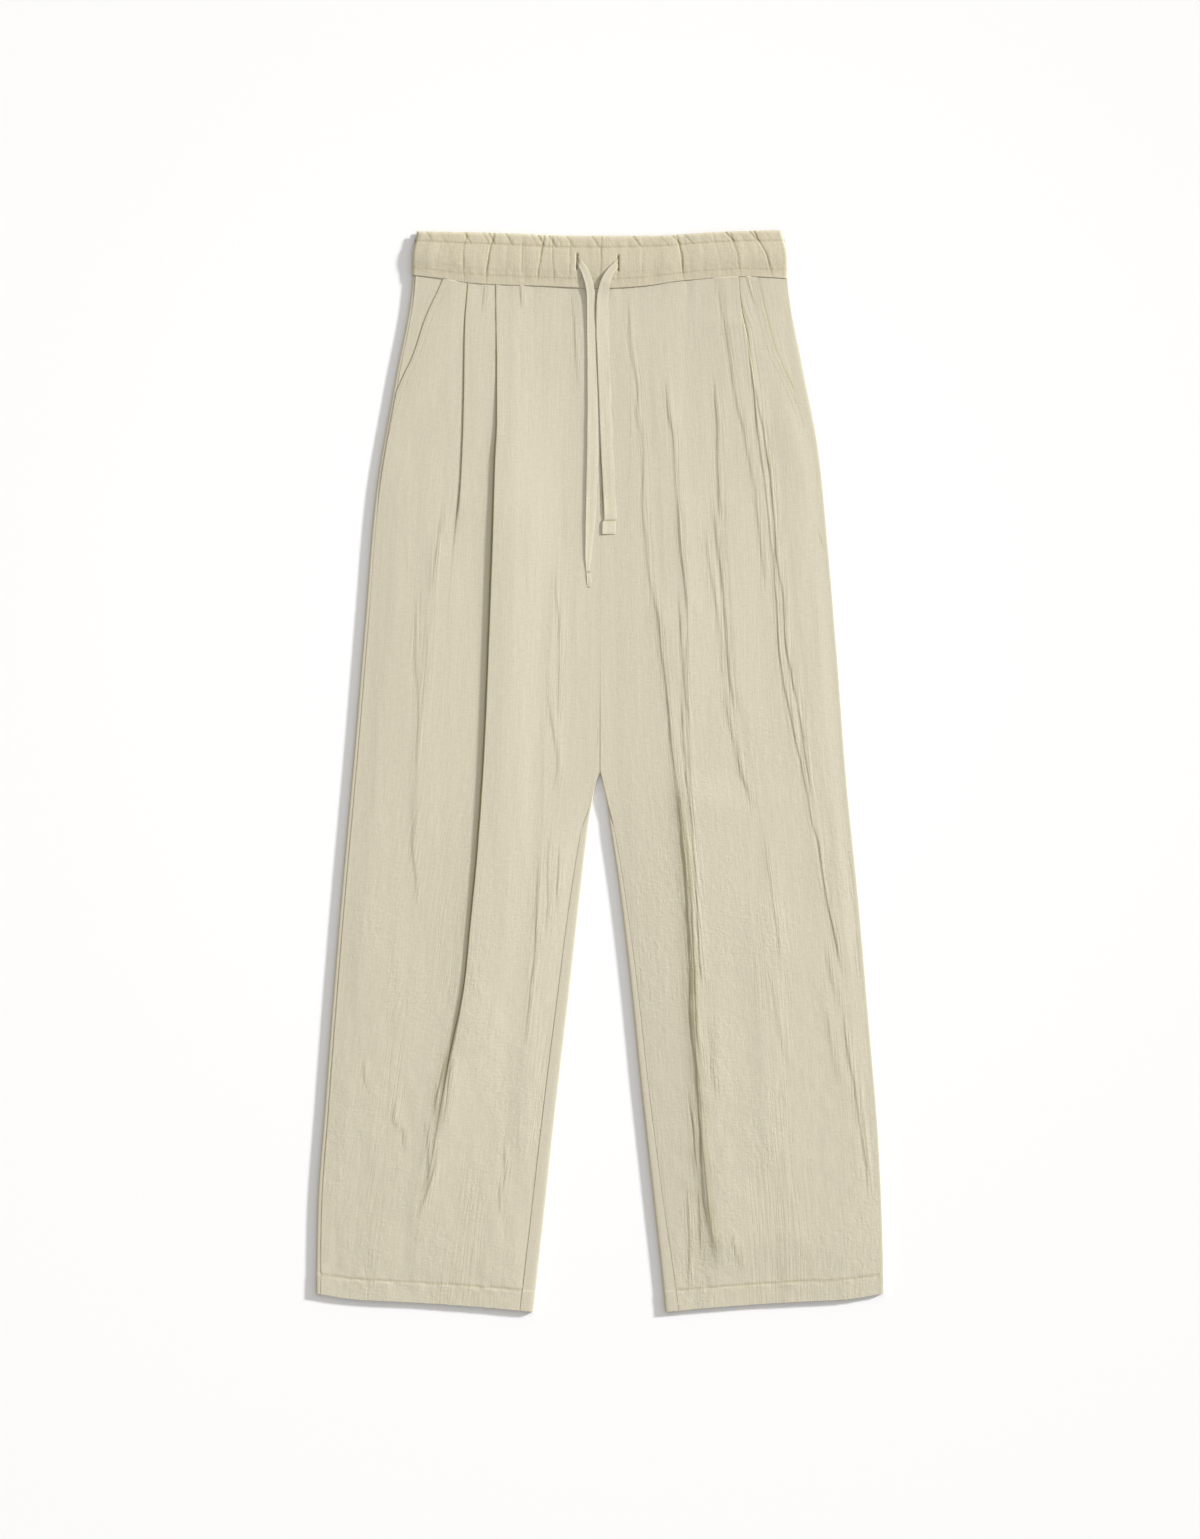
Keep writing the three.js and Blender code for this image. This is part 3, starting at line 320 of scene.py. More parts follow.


# Creases on the fronts. Each is a raised line, steep on its left side and easy on its right, with
# its height, the widths of both sides, and the points (y, x) of its route. Broad ones come first,
# thin lines after them. The thin ones, and broad ones over 0.9 high, also get painted shade on
# their steep side.
CREASES = {
    "left": (
        (0.5, 7, 26, (250, -164), (206, -168), (120, -176), (20, -182), (-90, -184)),
        (0.45, 9, 24, (230, -40), (90, -52), (-60, -58), (-220, -72), (-400, -84)),
        (0.6, 9, 22, (-285, -158), (-350, -168), (-420, -184), (-470, -190)),
        (0.4, 12, 30, (300, -68), (100, -76), (-100, -90), (-300, -112)),
        (0.4, 12, 30, (330, -196), (150, -212), (-100, -232), (-400, -258)),
        (0.45, 2.4, 5, (508, -20.5), (491, -16.5), (471, -13.5), (400, -12.5), (340, -12.8),
         (291, -13.6), (250, -14.2), (215, -14.6), (190, -12.5)),
        (0.22, 1.2, 8, (271, -157), (241, -160), (211, -164), (171, -169)),
        (0.16, 1.1, 6, (180, -182), (110, -184), (50, -181), (0, -185)),
        (0.16, 1.1, 6, (170, -170), (100, -174), (40, -178)),
        (0.2, 1.2, 6, (-20, -186), (-70, -187), (-110, -183), (-150, -181)),
        (0.2, 1.3, 7, (95, -52), (51, -48), (11, -42), (-30, -44)),
        (0.18, 1.1, 6, (200, -44), (150, -41), (90, -40), (40, -42)),
        (0.28, 1.2, 7, (-80, -60), (-130, -62), (-189, -65), (-229, -70), (-279, -74)),
        (0.2, 1.2, 6, (-60, -52), (-110, -51), (-170, -54)),
        (0.2, 1.2, 6, (-70, -40), (-120, -42), (-160, -46)),
        (0.35, 1.4, 8, (-270, -148), (-309, -158), (-329, -163), (-349, -165)),
        (0.35, 1.3, 8, (-279, -144), (-309, -150), (-339, -154), (-360, -158)),
        (0.3, 1.4, 7, (-345, -176), (-375, -171), (-400, -170), (-425, -180)),
        (0.28, 1.4, 7, (-360, -168), (-390, -164), (-420, -172), (-450, -184)),
        (0.3, 1.3, 6, (-325, -203), (-350, -206), (-362, -196), (-385, -195)),
        (0.2, 1.2, 6, (-285, -236), (-312, -234), (-330, -222)),
        (0.25, 1.2, 6, (-405, -99), (-430, -100), (-452, -93)),
        (0.2, 1.2, 6, (-370, -95), (-400, -94), (-425, -96)),
        (0.3, 1.0, 5, (492, -113), (478, -115), (462, -117)),
        (0.3, 1.0, 5, (492, -79), (480, -78.5), (466, -78)),
        (0.2, 1.0, 5, (488, -29), (468, -26), (430, -24), (380, -22)),
    ),
    "right": (
        (0.5, 4, 60, (190, 52), (121, 62), (63, 69), (26, 72), (-60, 80)),
        (0.55, 4, 40, (290, 76), (216, 82), (141, 88), (81, 88), (0, 91), (-60, 95)),
        (1.6, 6.5, 90, (0, 78), (-69, 84), (-129, 88), (-179, 91), (-229, 93), (-269, 95),
         (-329, 100), (-399, 105), (-450, 111), (-500, 120)),
        (0.5, 9, 22, (300, 124), (200, 130), (120, 136), (60, 144), (-40, 160)),
        (0.35, 10, 34, (420, 52), (300, 60), (180, 66), (60, 84)),
        (0.4, 12, 30, (380, 176), (240, 190), (90, 208), (-60, 232), (-200, 250)),
        (0.5, 14, 40, (-120, 150), (-260, 160), (-420, 168)),
        # This thin line lies in the gap between the two tapes: its painted shade stands for the shadow
        # that the right tape casts there.
        (1.3, 1.1, 3, (352, 0.9), (325, 1.9), (300, 3.2), (275, 4.4), (246, 5)),
        (0.2, 1.1, 7, (478, 28), (453, 29), (428, 31), (399, 36), (381, 39), (359, 38), (331, 43),
         (311, 44), (271, 43), (231, 46), (191, 50), (166, 56)),
        (0.34, 1.2, 9, (196, 51), (171, 55), (146, 60), (121, 62), (91, 66), (63, 69), (26, 72),
         (-4, 76), (-29, 79), (-69, 82), (-99, 86), (-129, 87), (-179, 90), (-229, 91), (-269, 93),
         (-299, 97), (-329, 99), (-369, 101), (-399, 102), (-439, 106), (-470, 113)),
        (0.34, 1.2, 9, (400, 66), (361, 69), (331, 74), (301, 75), (281, 76), (256, 79), (236, 80),
         (216, 82), (191, 85), (171, 87), (141, 88)),
        (0.32, 1.1, 6, (186, 79), (141, 81), (106, 84), (81, 86), (61, 88), (35, 90)),
        (0.38, 1.3, 7, (81, 83), (41, 84), (11, 86), (-14, 88), (-34, 90), (-59, 93), (-89, 95),
         (-119, 97), (-159, 99), (-184, 100), (-225, 104)),
        (0.35, 1.1, 4, (-40, 84), (-110, 91), (-180, 94), (-250, 97), (-300, 101)),
        (0.32, 1.2, 9, (400, 117), (371, 116), (341, 118), (311, 118), (291, 119), (266, 120),
         (240, 122)),
        (0.4, 1.2, 8, (276, 111), (241, 116), (221, 119), (201, 121), (171, 124), (146, 126),
         (116, 128), (91, 131), (61, 135), (50, 138)),
        (0.25, 1.1, 5, (251, 104), (211, 109), (181, 114), (161, 117), (131, 121), (111, 122),
         (85, 123)),
        (0.36, 1.1, 8, (91, 122), (56, 128), (31, 134), (11, 139), (-4, 142), (-19, 148),
         (-45, 156)),
        (0.26, 1.5, 9, (492, 116), (471, 120), (451, 124), (436, 127), (416, 130), (396, 133),
         (371, 137), (346, 143), (326, 147), (306, 151), (281, 155), (261, 158), (231, 161),
         (211, 163), (175, 168)),
        (0.38, 1.1, 8, (474, 141), (446, 146), (421, 150), (406, 152), (386, 154), (371, 155),
         (351, 157), (326, 160), (306, 163), (286, 166), (266, 168), (246, 170), (226, 172),
         (211, 174), (181, 176), (151, 178), (121, 180), (91, 184), (66, 189), (46, 193), (26, 197),
         (11, 201), (-9, 205), (-29, 209), (-49, 212), (-69, 218), (-99, 223), (-129, 228),
         (-149, 232), (-169, 236), (-189, 240), (-210, 246)),
        (0.42, 1.1, 9, (402, 151), (376, 157), (356, 161), (341, 164), (316, 168), (296, 171),
         (261, 174), (231, 176), (196, 180), (181, 183), (151, 185), (121, 187), (101, 191),
         (81, 195), (66, 198), (51, 201), (31, 204), (1, 208), (-32, 213)),
        (0.25, 1.2, 6, (-170, 225), (-209, 233), (-229, 239), (-245, 242)),
        (0.25, 1.2, 6, (-235, 225), (-274, 232), (-299, 236), (-320, 240)),
        (0.34, 1.3, 7, (-235, 243), (-289, 250), (-314, 255), (-349, 260), (-379, 265),
         (-430, 271)),
        (0.28, 1.2, 6, (-300, 260), (-359, 265), (-410, 272)),
        (0.22, 1.2, 7, (-240, 111), (-269, 113), (-299, 114), (-329, 116)),
        (0.3, 1.2, 5, (-310, 90), (-373, 95), (-410, 96)),
        (0.3, 1.2, 5, (-405, 86), (-440, 88), (-469, 90), (-520, 88)),
        (0.28, 1.2, 5, (-410, 99), (-440, 100), (-480, 101)),
        (0.2, 1.2, 5, (-460, 132), (-482, 137), (-500, 143)),
        (0.2, 1.2, 6, (-60, 164), (-120, 172), (-174, 180), (-215, 186)),
        (0.2, 1.2, 6, (-190, 166), (-224, 174), (-260, 180), (-300, 190)),
        (0.22, 1.2, 5, (-60, 250), (-140, 256), (-220, 262)),
        (0.3, 1.1, 5, (492, 146), (480, 150), (468, 155), (456, 160)),
        (0.3, 1.1, 5, (492, 160), (482, 162), (472, 163)),
        (0.45, 1.2, 4, (242, 219), (232, 222), (222, 227)),
    ),
}
THIN = 2.0                  # a crease whose steep side is narrower than this is a thin line
CREASE_FADE = 40.0


def each_crease(leg, y, p):
    """Each crease's number, height and widths, the distance from its route, and its end levels."""
    for k, (height, left, right, *points) in enumerate(CREASES[leg.name]):
        route = rows("y x", *points)
        off = leg.sign * p - curve(route, "x")(y)
        yield k, height, left, right, off, route["y"].max(), route["y"].min()


def crease_sway(k, y):
    """How far crease k wanders to either side of its route."""
    return 0.7 * noise(y, k * 37.0, 16.0, 1.0, 11)


def crease_strength(k, y, cell=15.0, amount=0.5):
    """How crease k weakens and deepens along its length, about 1."""
    return 1 + amount * noise(y, k * 53.0, cell, 1.0, 12)


def crease_along(y, top, bottom):
    """How a crease fades in and out at its ends."""
    return between(y, top, bottom, 2, min(CREASE_FADE, (top - bottom) / 3))


def creased(leg, y, p):
    """Height of all creases at a place: each falls off on both sides of its line, with its own
    width on each side, and fades in and out at its ends. It wanders and weakens here and there. A
    thin line is a bell; a broad one rises ever steeper to its crest from the left."""
    total = np.zeros(np.broadcast(y, p).shape)
    for k, height, left, right, off, top, bottom in each_crease(leg, y, p):
        off = off - crease_sway(k, y)
        if left < THIN:
            ridge = bell(off, np.where(off < 0, left, right)) * crease_strength(k, y)
        else:
            ridge = crest(off, left, right) * crease_strength(k, y, 120.0, 0.15)
        total = total + height * crease_along(y, top, bottom) * ridge
    return total


def crease_bunch(leg, y, p):
    """How strongly small crinkles gather at a place, from 0 to 1: near the creases, in the lower
    leg, and in a few patches."""
    total = np.zeros(np.broadcast(y, p).shape)
    for k, height, left, right, off, top, bottom in each_crease(leg, y, p):
        reach, strong = (7.0, min(1.0, 0.35 + height)) if left < THIN else (left + 4, 0.2 * height)
        total = np.maximum(total, between(y, top, bottom, 10, 20) * bell(off, reach) * strong)
    patches = smooth(0.1, 0.7, noise(leg.sign * p, y, 24, 120, 71)) * smooth(80, -300, y)
    return np.clip(np.maximum(total, 0.14 + 0.26 * patches), 0, 1)


def pucker_places(leg, y, p):
    """Where the cloth crumples in short level wrinkles, from 0 to 1: towards the hem, in patches."""
    x = leg.sign * p
    lower = smooth(220, -330, y) if leg.name == "left" else smooth(330, -200, y)
    patch = smooth(-0.5, 0.6, noise(x, y, 36, 64, 72))
    return lower * (0.3 + 0.7 * patch) + 0.15


def front_shade(leg, y, m):
    """How much painted shade darkens the cloth, from 0 to 1: along its seams, under the edge of each
    pleat, in the steep side of each crease, at the waistband and along the hem's stitching."""
    p = -m
    total = 0.4 * leg.outer_shows(y) * bell(leg.front_out(y) - p, 0.8)
    total = total + 0.4 * leg.inner_shows(y) * bell(p - leg.seam_in(y), 0.8)
    for edge, under, turn, rise, swell in leg.pleats:
        off = m + edge(y) + 0.2
        deep = smooth(20, 120, turn(y)) * (off < 0.8)
        near = 0.95 * bell(off, np.where(off < 0, 0.55 + 0.5 * swell(y), 0.45))
        total = total + deep * (near + 0.3 * np.minimum(1, swell(y)) * np.exp(off / 4.0) * (off < 0))
    for k, height, left, right, off, top, bottom in each_crease(leg, y, p):
        off, along = off - crease_sway(k, y), crease_along(y, top, bottom)
        if left < THIN:
            total = total + 0.6 * height * along * crease_strength(k, y) * bell(off + left, 1.0)
        elif height > 0.9:
            total = total + 0.2 * along * crest(off, left, 5) * crease_strength(k + 20, y)
    total = total + 0.04 * bell(TOP - y, 1.6) + 0.26 * bell(y - HEM_SEAM - 0.6, 1.0)
    return np.clip(total, 0, 0.85)


def crinkled(x, y, strength=1.0):
    """Broad waves of the cloth and soft upright ripples in them."""
    broad = noise(x, y, 26, 190, 21) * 0.2
    middle = noise(x + 2 * noise(x, y, 30, 60, 25), y, 9, 110, 22) * 0.05
    lower = 0.12 * smooth(-60, -330, y) * noise(x, y, 10, 9, 27)
    fine = 0.022 * noise(x + 1.5 * noise(x, y, 20, 30, 26), y, 3.6, 40, 23)
    return strength * (broad + middle + lower + fine)


def puffed(leg, y, p):
    """How far the cloth rises off the back away from the folded sides."""
    from_side = 1 - np.exp(-np.maximum(0, leg.outer(y) - p) / PUFF_REACH)
    from_inner = 1 - np.exp(-np.maximum(0, p - leg.seam_in(y)) / PUFF_REACH)
    in_leg = smooth(10, -70, y)
    ends = smooth(HEM, HEM + 60, y) * mix(1, 0.4, smooth(TOP - 60, TOP, y))
    return PUFF * from_side * mix(1, from_inner, in_leg) * ends


def front_height(leg, y, p):
    """Height of a front's middle without its pleats: it puffs up, lies over the pocket facing,
    and carries creases, crinkles and seam grooves."""
    puff = puffed(leg, y, p)
    under = leg.mouth(y) - FACING_UNDER
    pocket = POCKET_LIFT * smooth(POCKET_END - 2.5 * ROW_STEP, POCKET_END - ROW_STEP, y)
    pocket = pocket * smooth(under - 34, under - 2, p)
    lift = WAIST_LIFT * np.clip((y - TOP + ROW_STEP) / ROW_STEP, 0, 1)
    hem = 0.6 * HEM_EXTRA * smooth(HEM_SEAM + 0.6, HEM_SEAM - 3, y)
    groove = 0.16 * bell(y - HEM_SEAM - 0.8, 0.9)
    out_edge, in_edge = leg.front_out(y) - p, p - leg.seam_in(y)
    edge = np.minimum(out_edge, in_edge)
    seam = SEAM_STEP * leg.sign * leg.outer_shows(y) * np.exp(-np.maximum(0, out_edge) / SEAM_REACH)
    inner_step = SEAM_STEP * leg.sign * leg.inner_shows(y)
    seam = seam - inner_step * np.exp(-np.maximum(0, in_edge) / SEAM_REACH)
    x = leg.sign * p
    calm = smooth(0, 14, edge) * (1 - 0.5 * smooth(TOP - 30, TOP, y))
    pucker = 0.22 * noise(x, y, 7, 3, 31) * np.exp(-np.abs(y - HEM_SEAM) / 9)
    gathers = 0.22 * noise(x, y, 9, 60, 32) * np.exp(-(TOP - y) / 20)
    shape = creased(leg, y, p) * calm + crinkled(x, y) * (0.35 + 0.65 * calm)
    return Z_FRONT + puff + pocket + lift + hem - groove - seam + shape + pucker + gathers


def pleat_section(pleat, y):
    """A pleat's own section for each row: an arc, a straight run back and an arc the other way,
    from the lower layer to the upper one. Its outermost point lies at the pleat's edge."""
    edge, under, turn, rise, swell = (part(y)[:, None] for part in pleat)
    turn = np.radians(np.clip(turn, 0, 180))
    under = np.maximum(LEAST_UNDER, under)
    r = PLEAT_RADIUS * rise
    start = CLOTH / 2 - edge - (2 * r * np.sin(turn) + under * np.cos(turn) - r)
    a = turn * np.linspace(0, 1, TURN_STEPS + 1)[None, :]
    first_m, first_z = start + r * np.sin(a), r * (1 - np.cos(a))
    back_m = first_m[:, -1:] + under * np.cos(turn)
    back_z = first_z[:, -1:] + under * np.sin(turn)
    b = turn - a
    second_m = back_m + r * (np.sin(turn) - np.sin(b))
    second_z = back_z + r * (np.cos(b) - np.cos(turn))
    run = np.linspace(0, 1, 5)[None, 1:-1]
    run_m = mix(first_m[:, -1:], back_m, run)
    run_z = mix(first_z[:, -1:], back_z, run)
    m = np.hstack([first_m, run_m, second_m])
    z = np.hstack([first_z, run_z, second_z])
    middle = (m.shape[1] - 1) / 2
    m = m + (np.arange(m.shape[1])[None, :] - middle) * FLAT_SPREAD * (1 - turn / math.pi)
    settle = np.maximum(start + r, m[:, -1:]) + 1
    dent = PLEAT_DENT * np.minimum(1, rise) * np.minimum(1, 2 * turn / math.pi)
    return m, z, settle, dent * bell(m + edge + 0.4, 0.8), dent


def front_section(leg, y, steps):
    """Section lines of a front, one for each row: even steps between its pleats, whose turns it
    follows. Past a pleat the raised cloth settles back down over a set width."""
    grid_m, grid_z, lifts = [], [], []
    y_col = y[:, None]

    def height(m):
        z = front_height(leg, y_col, -m)
        for rise, settle in lifts:
            z = z + rise * smooth(settle + PLEAT_SETTLE, settle, m)
        for edge, under, turn, rise, swell in leg.pleats:
            off = m + edge(y_col)
            side = np.where(off < 0, np.exp(np.minimum(0, off) / SWELL_REACH),
                            smooth(PLEAT_SETTLE, 4, off))
            z = z + swell(y_col) * side
        return z

    start = -leg.front_out(y)[:, None]
    for k, count in enumerate(steps):
        last = k == len(steps) - 1
        if last:
            stop = -leg.seam_in(y)[:, None]
        else:
            section_m, section_z, settle, dip, dent = pleat_section(leg.pleats[k], y)
            stop = section_m[:, :1]
        t = np.linspace(0, 1, count + 1)[None, (1 if k else 0):(None if last else -1)]
        m = mix(start, stop, t)
        if k == 0:
            m = np.hstack([m[:, :1], m[:, :1] + RIM, m[:, 1:]])
        if last:
            m = np.hstack([m[:, :-1], m[:, -1:] - RIM, m[:, -1:]])
        grid_m.append(m)
        z = height(m)
        if not last:
            edge = leg.pleats[k][0](y)[:, None]
            z = z - dent * bell(m + edge + 0.4, 0.8)
        grid_z.append(z)
        if not last:
            under_side = np.arange(section_m.shape[1]) < section_m.shape[1] / 2
            grid_m.append(section_m)
            grid_z.append(height(section_m) + section_z - dip * under_side)
            lifts.append((section_z[:, -1:], settle))
            start = section_m[:, -1:]
    return np.hstack(grid_m), np.hstack(grid_z)


def back_section(leg, y):
    """Section lines of a back: flat below, rolled round each side fold to its seam on the front.
    A fold is a quarter of a pressed oval above and a quarter round below. The inner one opens out
    to nothing at the crotch, where it lies a little lower, under the front. Folds press up into
    the back."""
    hem = HEM_EXTRA * smooth(HEM_SEAM + 1.2, HEM_SEAM - 0.6, y)[:, None]
    r = (Z_FRONT - Z_BACK + 0.6 * hem) / 2
    y_col = y[:, None]
    outer, inner = leg.outer(y_col), leg.inner(y_col)
    quarter = np.linspace(0, math.pi / 2, TURN_STEPS + 1)[None, :]
    folded = np.array(FOLD_PLACES)[None, :]
    fall = (1 - folded ** FOLD_POWER) ** (1 / FOLD_POWER)
    side = -(outer - CLOTH / 2)
    wrap = np.maximum(r, leg.side_wrap(y_col) - CLOTH / 2)
    upper_m, upper_z = side + wrap * (1 - folded), Z_BACK + r * (1 + fall)
    upper_m = np.hstack([upper_m[:, :1], upper_m[:, :1] - RIM, upper_m[:, 1:]])
    upper_z = np.hstack([upper_z[:, :1], upper_z])
    lower_m, lower_z = side + r * (1 - np.cos(quarter)), Z_BACK + r * (1 - np.sin(quarter))
    opened = smooth(-6, 0, y_col)
    near = smooth(CROTCH_BOTTOM - 44, CROTCH_BOTTOM + 2, y_col)
    inner_r = r * (1 - 0.22 * near) * (1 - 0.9 * opened)
    inner_wrap = np.maximum(inner_r, (leg.inner_wrap(y_col) - CLOTH / 2) * (1 - near))
    edge = mix(-(inner + CLOTH / 2), -SEAM_JOIN, opened)
    t = np.linspace(0, 1, BACK_STEPS + 1)[None, 1:-1]
    low_m = mix(side + r, edge - inner_r, t)
    x = -leg.sign * low_m
    away = np.minimum(low_m - side - r, edge - inner_r - low_m)
    pressed = smooth(1, 16, away) * (
        0.5 * smooth(0.05, 0.8, noise(x, y_col, 19, 150, 41))
        + 0.8 * np.abs(crinkled(x + 400, y_col)) + back_creases(leg, x, y_col))
    stitched = 0.3 * bell(y_col - HEM_SEAM, 1.3)
    low_z = Z_BACK + np.minimum(1.5, pressed) + stitched
    rising = quarter[:, ::-1]
    in_low_m = edge - inner_r * (1 - np.cos(rising))
    in_low_z = Z_BACK + inner_r * (1 - np.sin(rising))
    in_up_m = edge - inner_wrap * (1 - folded[:, ::-1])
    in_up_z = Z_BACK + inner_r * (1 + fall[:, ::-1])
    rim = np.minimum(RIM, inner_wrap * 0.05)
    in_up_m = np.hstack([in_up_m[:, :-1], in_up_m[:, -1:] + rim, in_up_m[:, -1:]])
    in_up_z = np.hstack([in_up_z, in_up_z[:, -1:]])
    return (np.hstack([upper_m, lower_m[:, 1:], low_m, in_low_m, in_up_m[:, 1:]]),
            np.hstack([upper_z, lower_z[:, 1:], low_z, in_low_z, in_up_z[:, 1:]]))


BACK_CREASES = rows(
    "top bottom at lean height", (470, 240, 60, 4, 0.9), (440, 120, 96, 12, 0.8),
    (300, -60, 132, 20, 1.0), (160, -240, 96, 34, 0.8), (60, -330, 168, 30, 1.0),
    (-80, -420, 120, 36, 0.9), (-200, -500, 190, 22, 0.8), (-260, -480, 88, 16, 0.6))


def back_creases(leg, x, y):
    """Long soft folds on the hidden back, like the front's: bells across their lines, which lean
    outwards as they run down."""
    total = 0 * (x + y)
    for top, bottom, at, lean, height in zip(*BACK_CREASES.values()):
        line = leg.sign * (at + lean * (top - y) / (top - bottom)) + 3 * noise(y, at, 60, 9, 43)
        along = smooth(top, top - 60, y) * smooth(bottom, bottom + 60, y)
        total = total + height * along * bell(x - line, 6)
    return total


def make_mesh(name, points, faces, uv=None):
    """A smooth mesh object from points in millimetres, faces and the points' cloth coordinates."""
    mesh = bpy.data.meshes.new(name)
    mesh.from_pydata((points.reshape(-1, 3) * MM).tolist(), [], faces)
    if uv is not None:
        layer = mesh.uv_layers.new(name="cloth")
        loops = np.zeros(len(mesh.loops), int)
        mesh.loops.foreach_get("vertex_index", loops)
        layer.data.foreach_set("uv", uv.reshape(-1, 2)[loops].astype(np.float32).ravel())
    mesh.polygons.foreach_set("use_smooth", np.ones(len(mesh.polygons), bool))
    mesh.update()
    piece = bpy.data.objects.new(name, mesh)
    bpy.context.scene.collection.objects.link(piece)
    return piece


def cells(index, turned):
    """The quads of a grid of point numbers, wound the other way round if turned is set."""
    a, b, c, d = index[:-1, :-1], index[1:, :-1], index[1:, 1:], index[:-1, 1:]
    return np.stack([a, d, c, b] if turned else [a, b, c, d], axis=-1).reshape(-1, 4).tolist()


def grid_mesh(name, points, flip=False, uv=None, closed=False):
    """A grid of points as a mesh whose faces point up, or down if flip is set. A closed one joins
    its last column to its first, has a face over each end, and points outwards."""
    index = np.arange(points[..., 0].size).reshape(points.shape[:2])
    if not closed:
        return make_mesh(name, points, cells(index, flip), uv)
    faces = cells(np.hstack([index, index[:, :1]]), flip)
    return face_outwards(make_mesh(name, points, faces + index[[0, -1]].tolist(), uv))


def face_outwards(piece):
    """Recalculates the normals of a closed mesh so that they point out of it."""
    bm = bmesh.new()
    bm.from_mesh(piece.data)
    bmesh.ops.recalc_face_normals(bm, faces=bm.faces)
    bm.to_mesh(piece.data)
    bm.free()
    return piece


def cloth_coordinates(points):
    """Cloth coordinates in metres: distance run along each row, and along the mean column."""
    across = np.linalg.norm(np.diff(points, axis=1), axis=-1)
    u = np.hstack([np.zeros((len(points), 1)), np.cumsum(across, axis=1)])
    return np.stack([u - u.mean(axis=1, keepdims=True), points[..., 1]], axis=-1) * MM


def thicken(piece):
    """Gives a single surface its cloth thickness, half to each side."""
    wall = piece.modifiers.new("cloth", "SOLIDIFY")
    wall.thickness = CLOTH * MM
    wall.offset = 0
    wall.use_even_offset = False
    return piece


def shell(name, points, flip):
    """A closed thin shell about a grid of points: a fine outer face, an inner face that keeps every
    fourth row, and a rim round both. flip turns its outside to the other side of the grid."""
    along, across = np.gradient(points, axis=0), np.gradient(points, axis=1)
    normal = np.cross(across, along)
    normal *= (-1 if flip else 1) / np.maximum(1e-9, np.linalg.norm(normal, axis=-1, keepdims=True))
    kept = np.unique(np.append(np.arange(0, len(points), INNER_STEP), len(points) - 1))
    outer, inner = points + normal * CLOTH / 2, (points - normal * CLOTH / 2)[kept]
    top = np.arange(outer[..., 0].size).reshape(outer.shape[:2])
    low = top.size + np.arange(inner[..., 0].size).reshape(inner.shape[:2])

    def side(column, turned):
        faces = [
            [*top[a:b + 1, column].tolist(), int(low[k + 1, column]), int(low[k, column])]
            for k, (a, b) in enumerate(zip(kept[:-1], kept[1:]))]
        return [face[::-1] for face in faces] if turned else faces

    faces = cells(top, not flip) + cells(low, flip) + side(0, flip) + side(-1, not flip)
    faces += cells(np.stack([top[0], low[0]]), flip) + cells(np.stack([top[-1], low[-1]]), not flip)
    every = np.concatenate([outer.reshape(-1, 3), inner.reshape(-1, 3)])
    uv = cloth_coordinates(points)
    uv = np.concatenate([uv.reshape(-1, 2), uv[kept].reshape(-1, 2)])
    return make_mesh(name, every, faces, uv), kept


def note_cloth(piece, shape, kept=None, **notes):
    """Writes what the cloth's material reads, one number for each point of a grid or shell."""
    for name, values in notes.items():
        values = np.broadcast_to(values, shape)
        flat = values.ravel() if kept is None else np.concatenate([values.ravel(), values[kept].ravel()])
        note = piece.data.attributes.new(name, "FLOAT", "POINT")
        note.data.foreach_set("value", flat.astype(np.float32))


def row_levels(step):
    """Levels of the rows from waist to hem, closer together round the crotch and hem stitching."""
    spans = ((TOP, CROTCH_TOP + 8, step), (CROTCH_TOP + 8, CROTCH_BOTTOM - 6, step * 0.5),
             (CROTCH_BOTTOM - 6, HEM_SEAM + 4, step), (HEM_SEAM + 4, HEM_SEAM - 4, 0.8),
             (HEM_SEAM - 4, HEM, 2.5))
    parts = [np.linspace(a, b, max(2, round((a - b) / s) + 1))[:-1] for a, b, s in spans]
    return np.concatenate([[TOP, TOP - RIM], parts[0][1:], *parts[1:], [HEM + RIM, HEM]])


def tucked(points):
    """A grid of points with one more row that rolls down under the waistband."""
    return np.vstack([points[:1] + np.array([0.0, 1.0, -0.1]), points])


def make_front(leg):
    """A front of fine cloth with its pleats. Its top edge rolls down under the waistband."""
    levels = row_levels(FRONT_ROW_STEP)
    m, z = front_section(leg, levels, FRONT_STEPS[leg.name])
    level = levels[:, None]
    points = tucked(leg.place(level, -m, z))
    piece, kept = shell(f"front_{leg.name}_cloth", points, leg.sign < 0)
    # The last note is painted shade: along the seams, under the pleats' edges and in the creases.
    notes = dict(crinkle=crease_bunch(leg, level, -m), pucker=pucker_places(leg, level, -m),
                 shade=front_shade(leg, level, m))
    note_cloth(piece, points.shape[:2], kept,
               **{name: np.vstack([made[:1], made]) for name, made in notes.items()})
    return piece


def make_back(leg):
    """A back of fine cloth, rolled round both side folds."""
    levels = row_levels(BACK_ROW_STEP)
    m, z = back_section(leg, levels)
    points = leg.place(levels[:, None], -m, z)
    piece = grid_mesh(f"back_{leg.name}_cloth", points, leg.sign > 0, cloth_coordinates(points))
    low = z < TOP_FRONT / 2
    note_cloth(piece, z.shape, crinkle=0.3 * low + 0.1, shade=0,
               pucker=0.5 * low * smooth(0, -400, levels[:, None]) + 0.1)
    return thicken(piece)


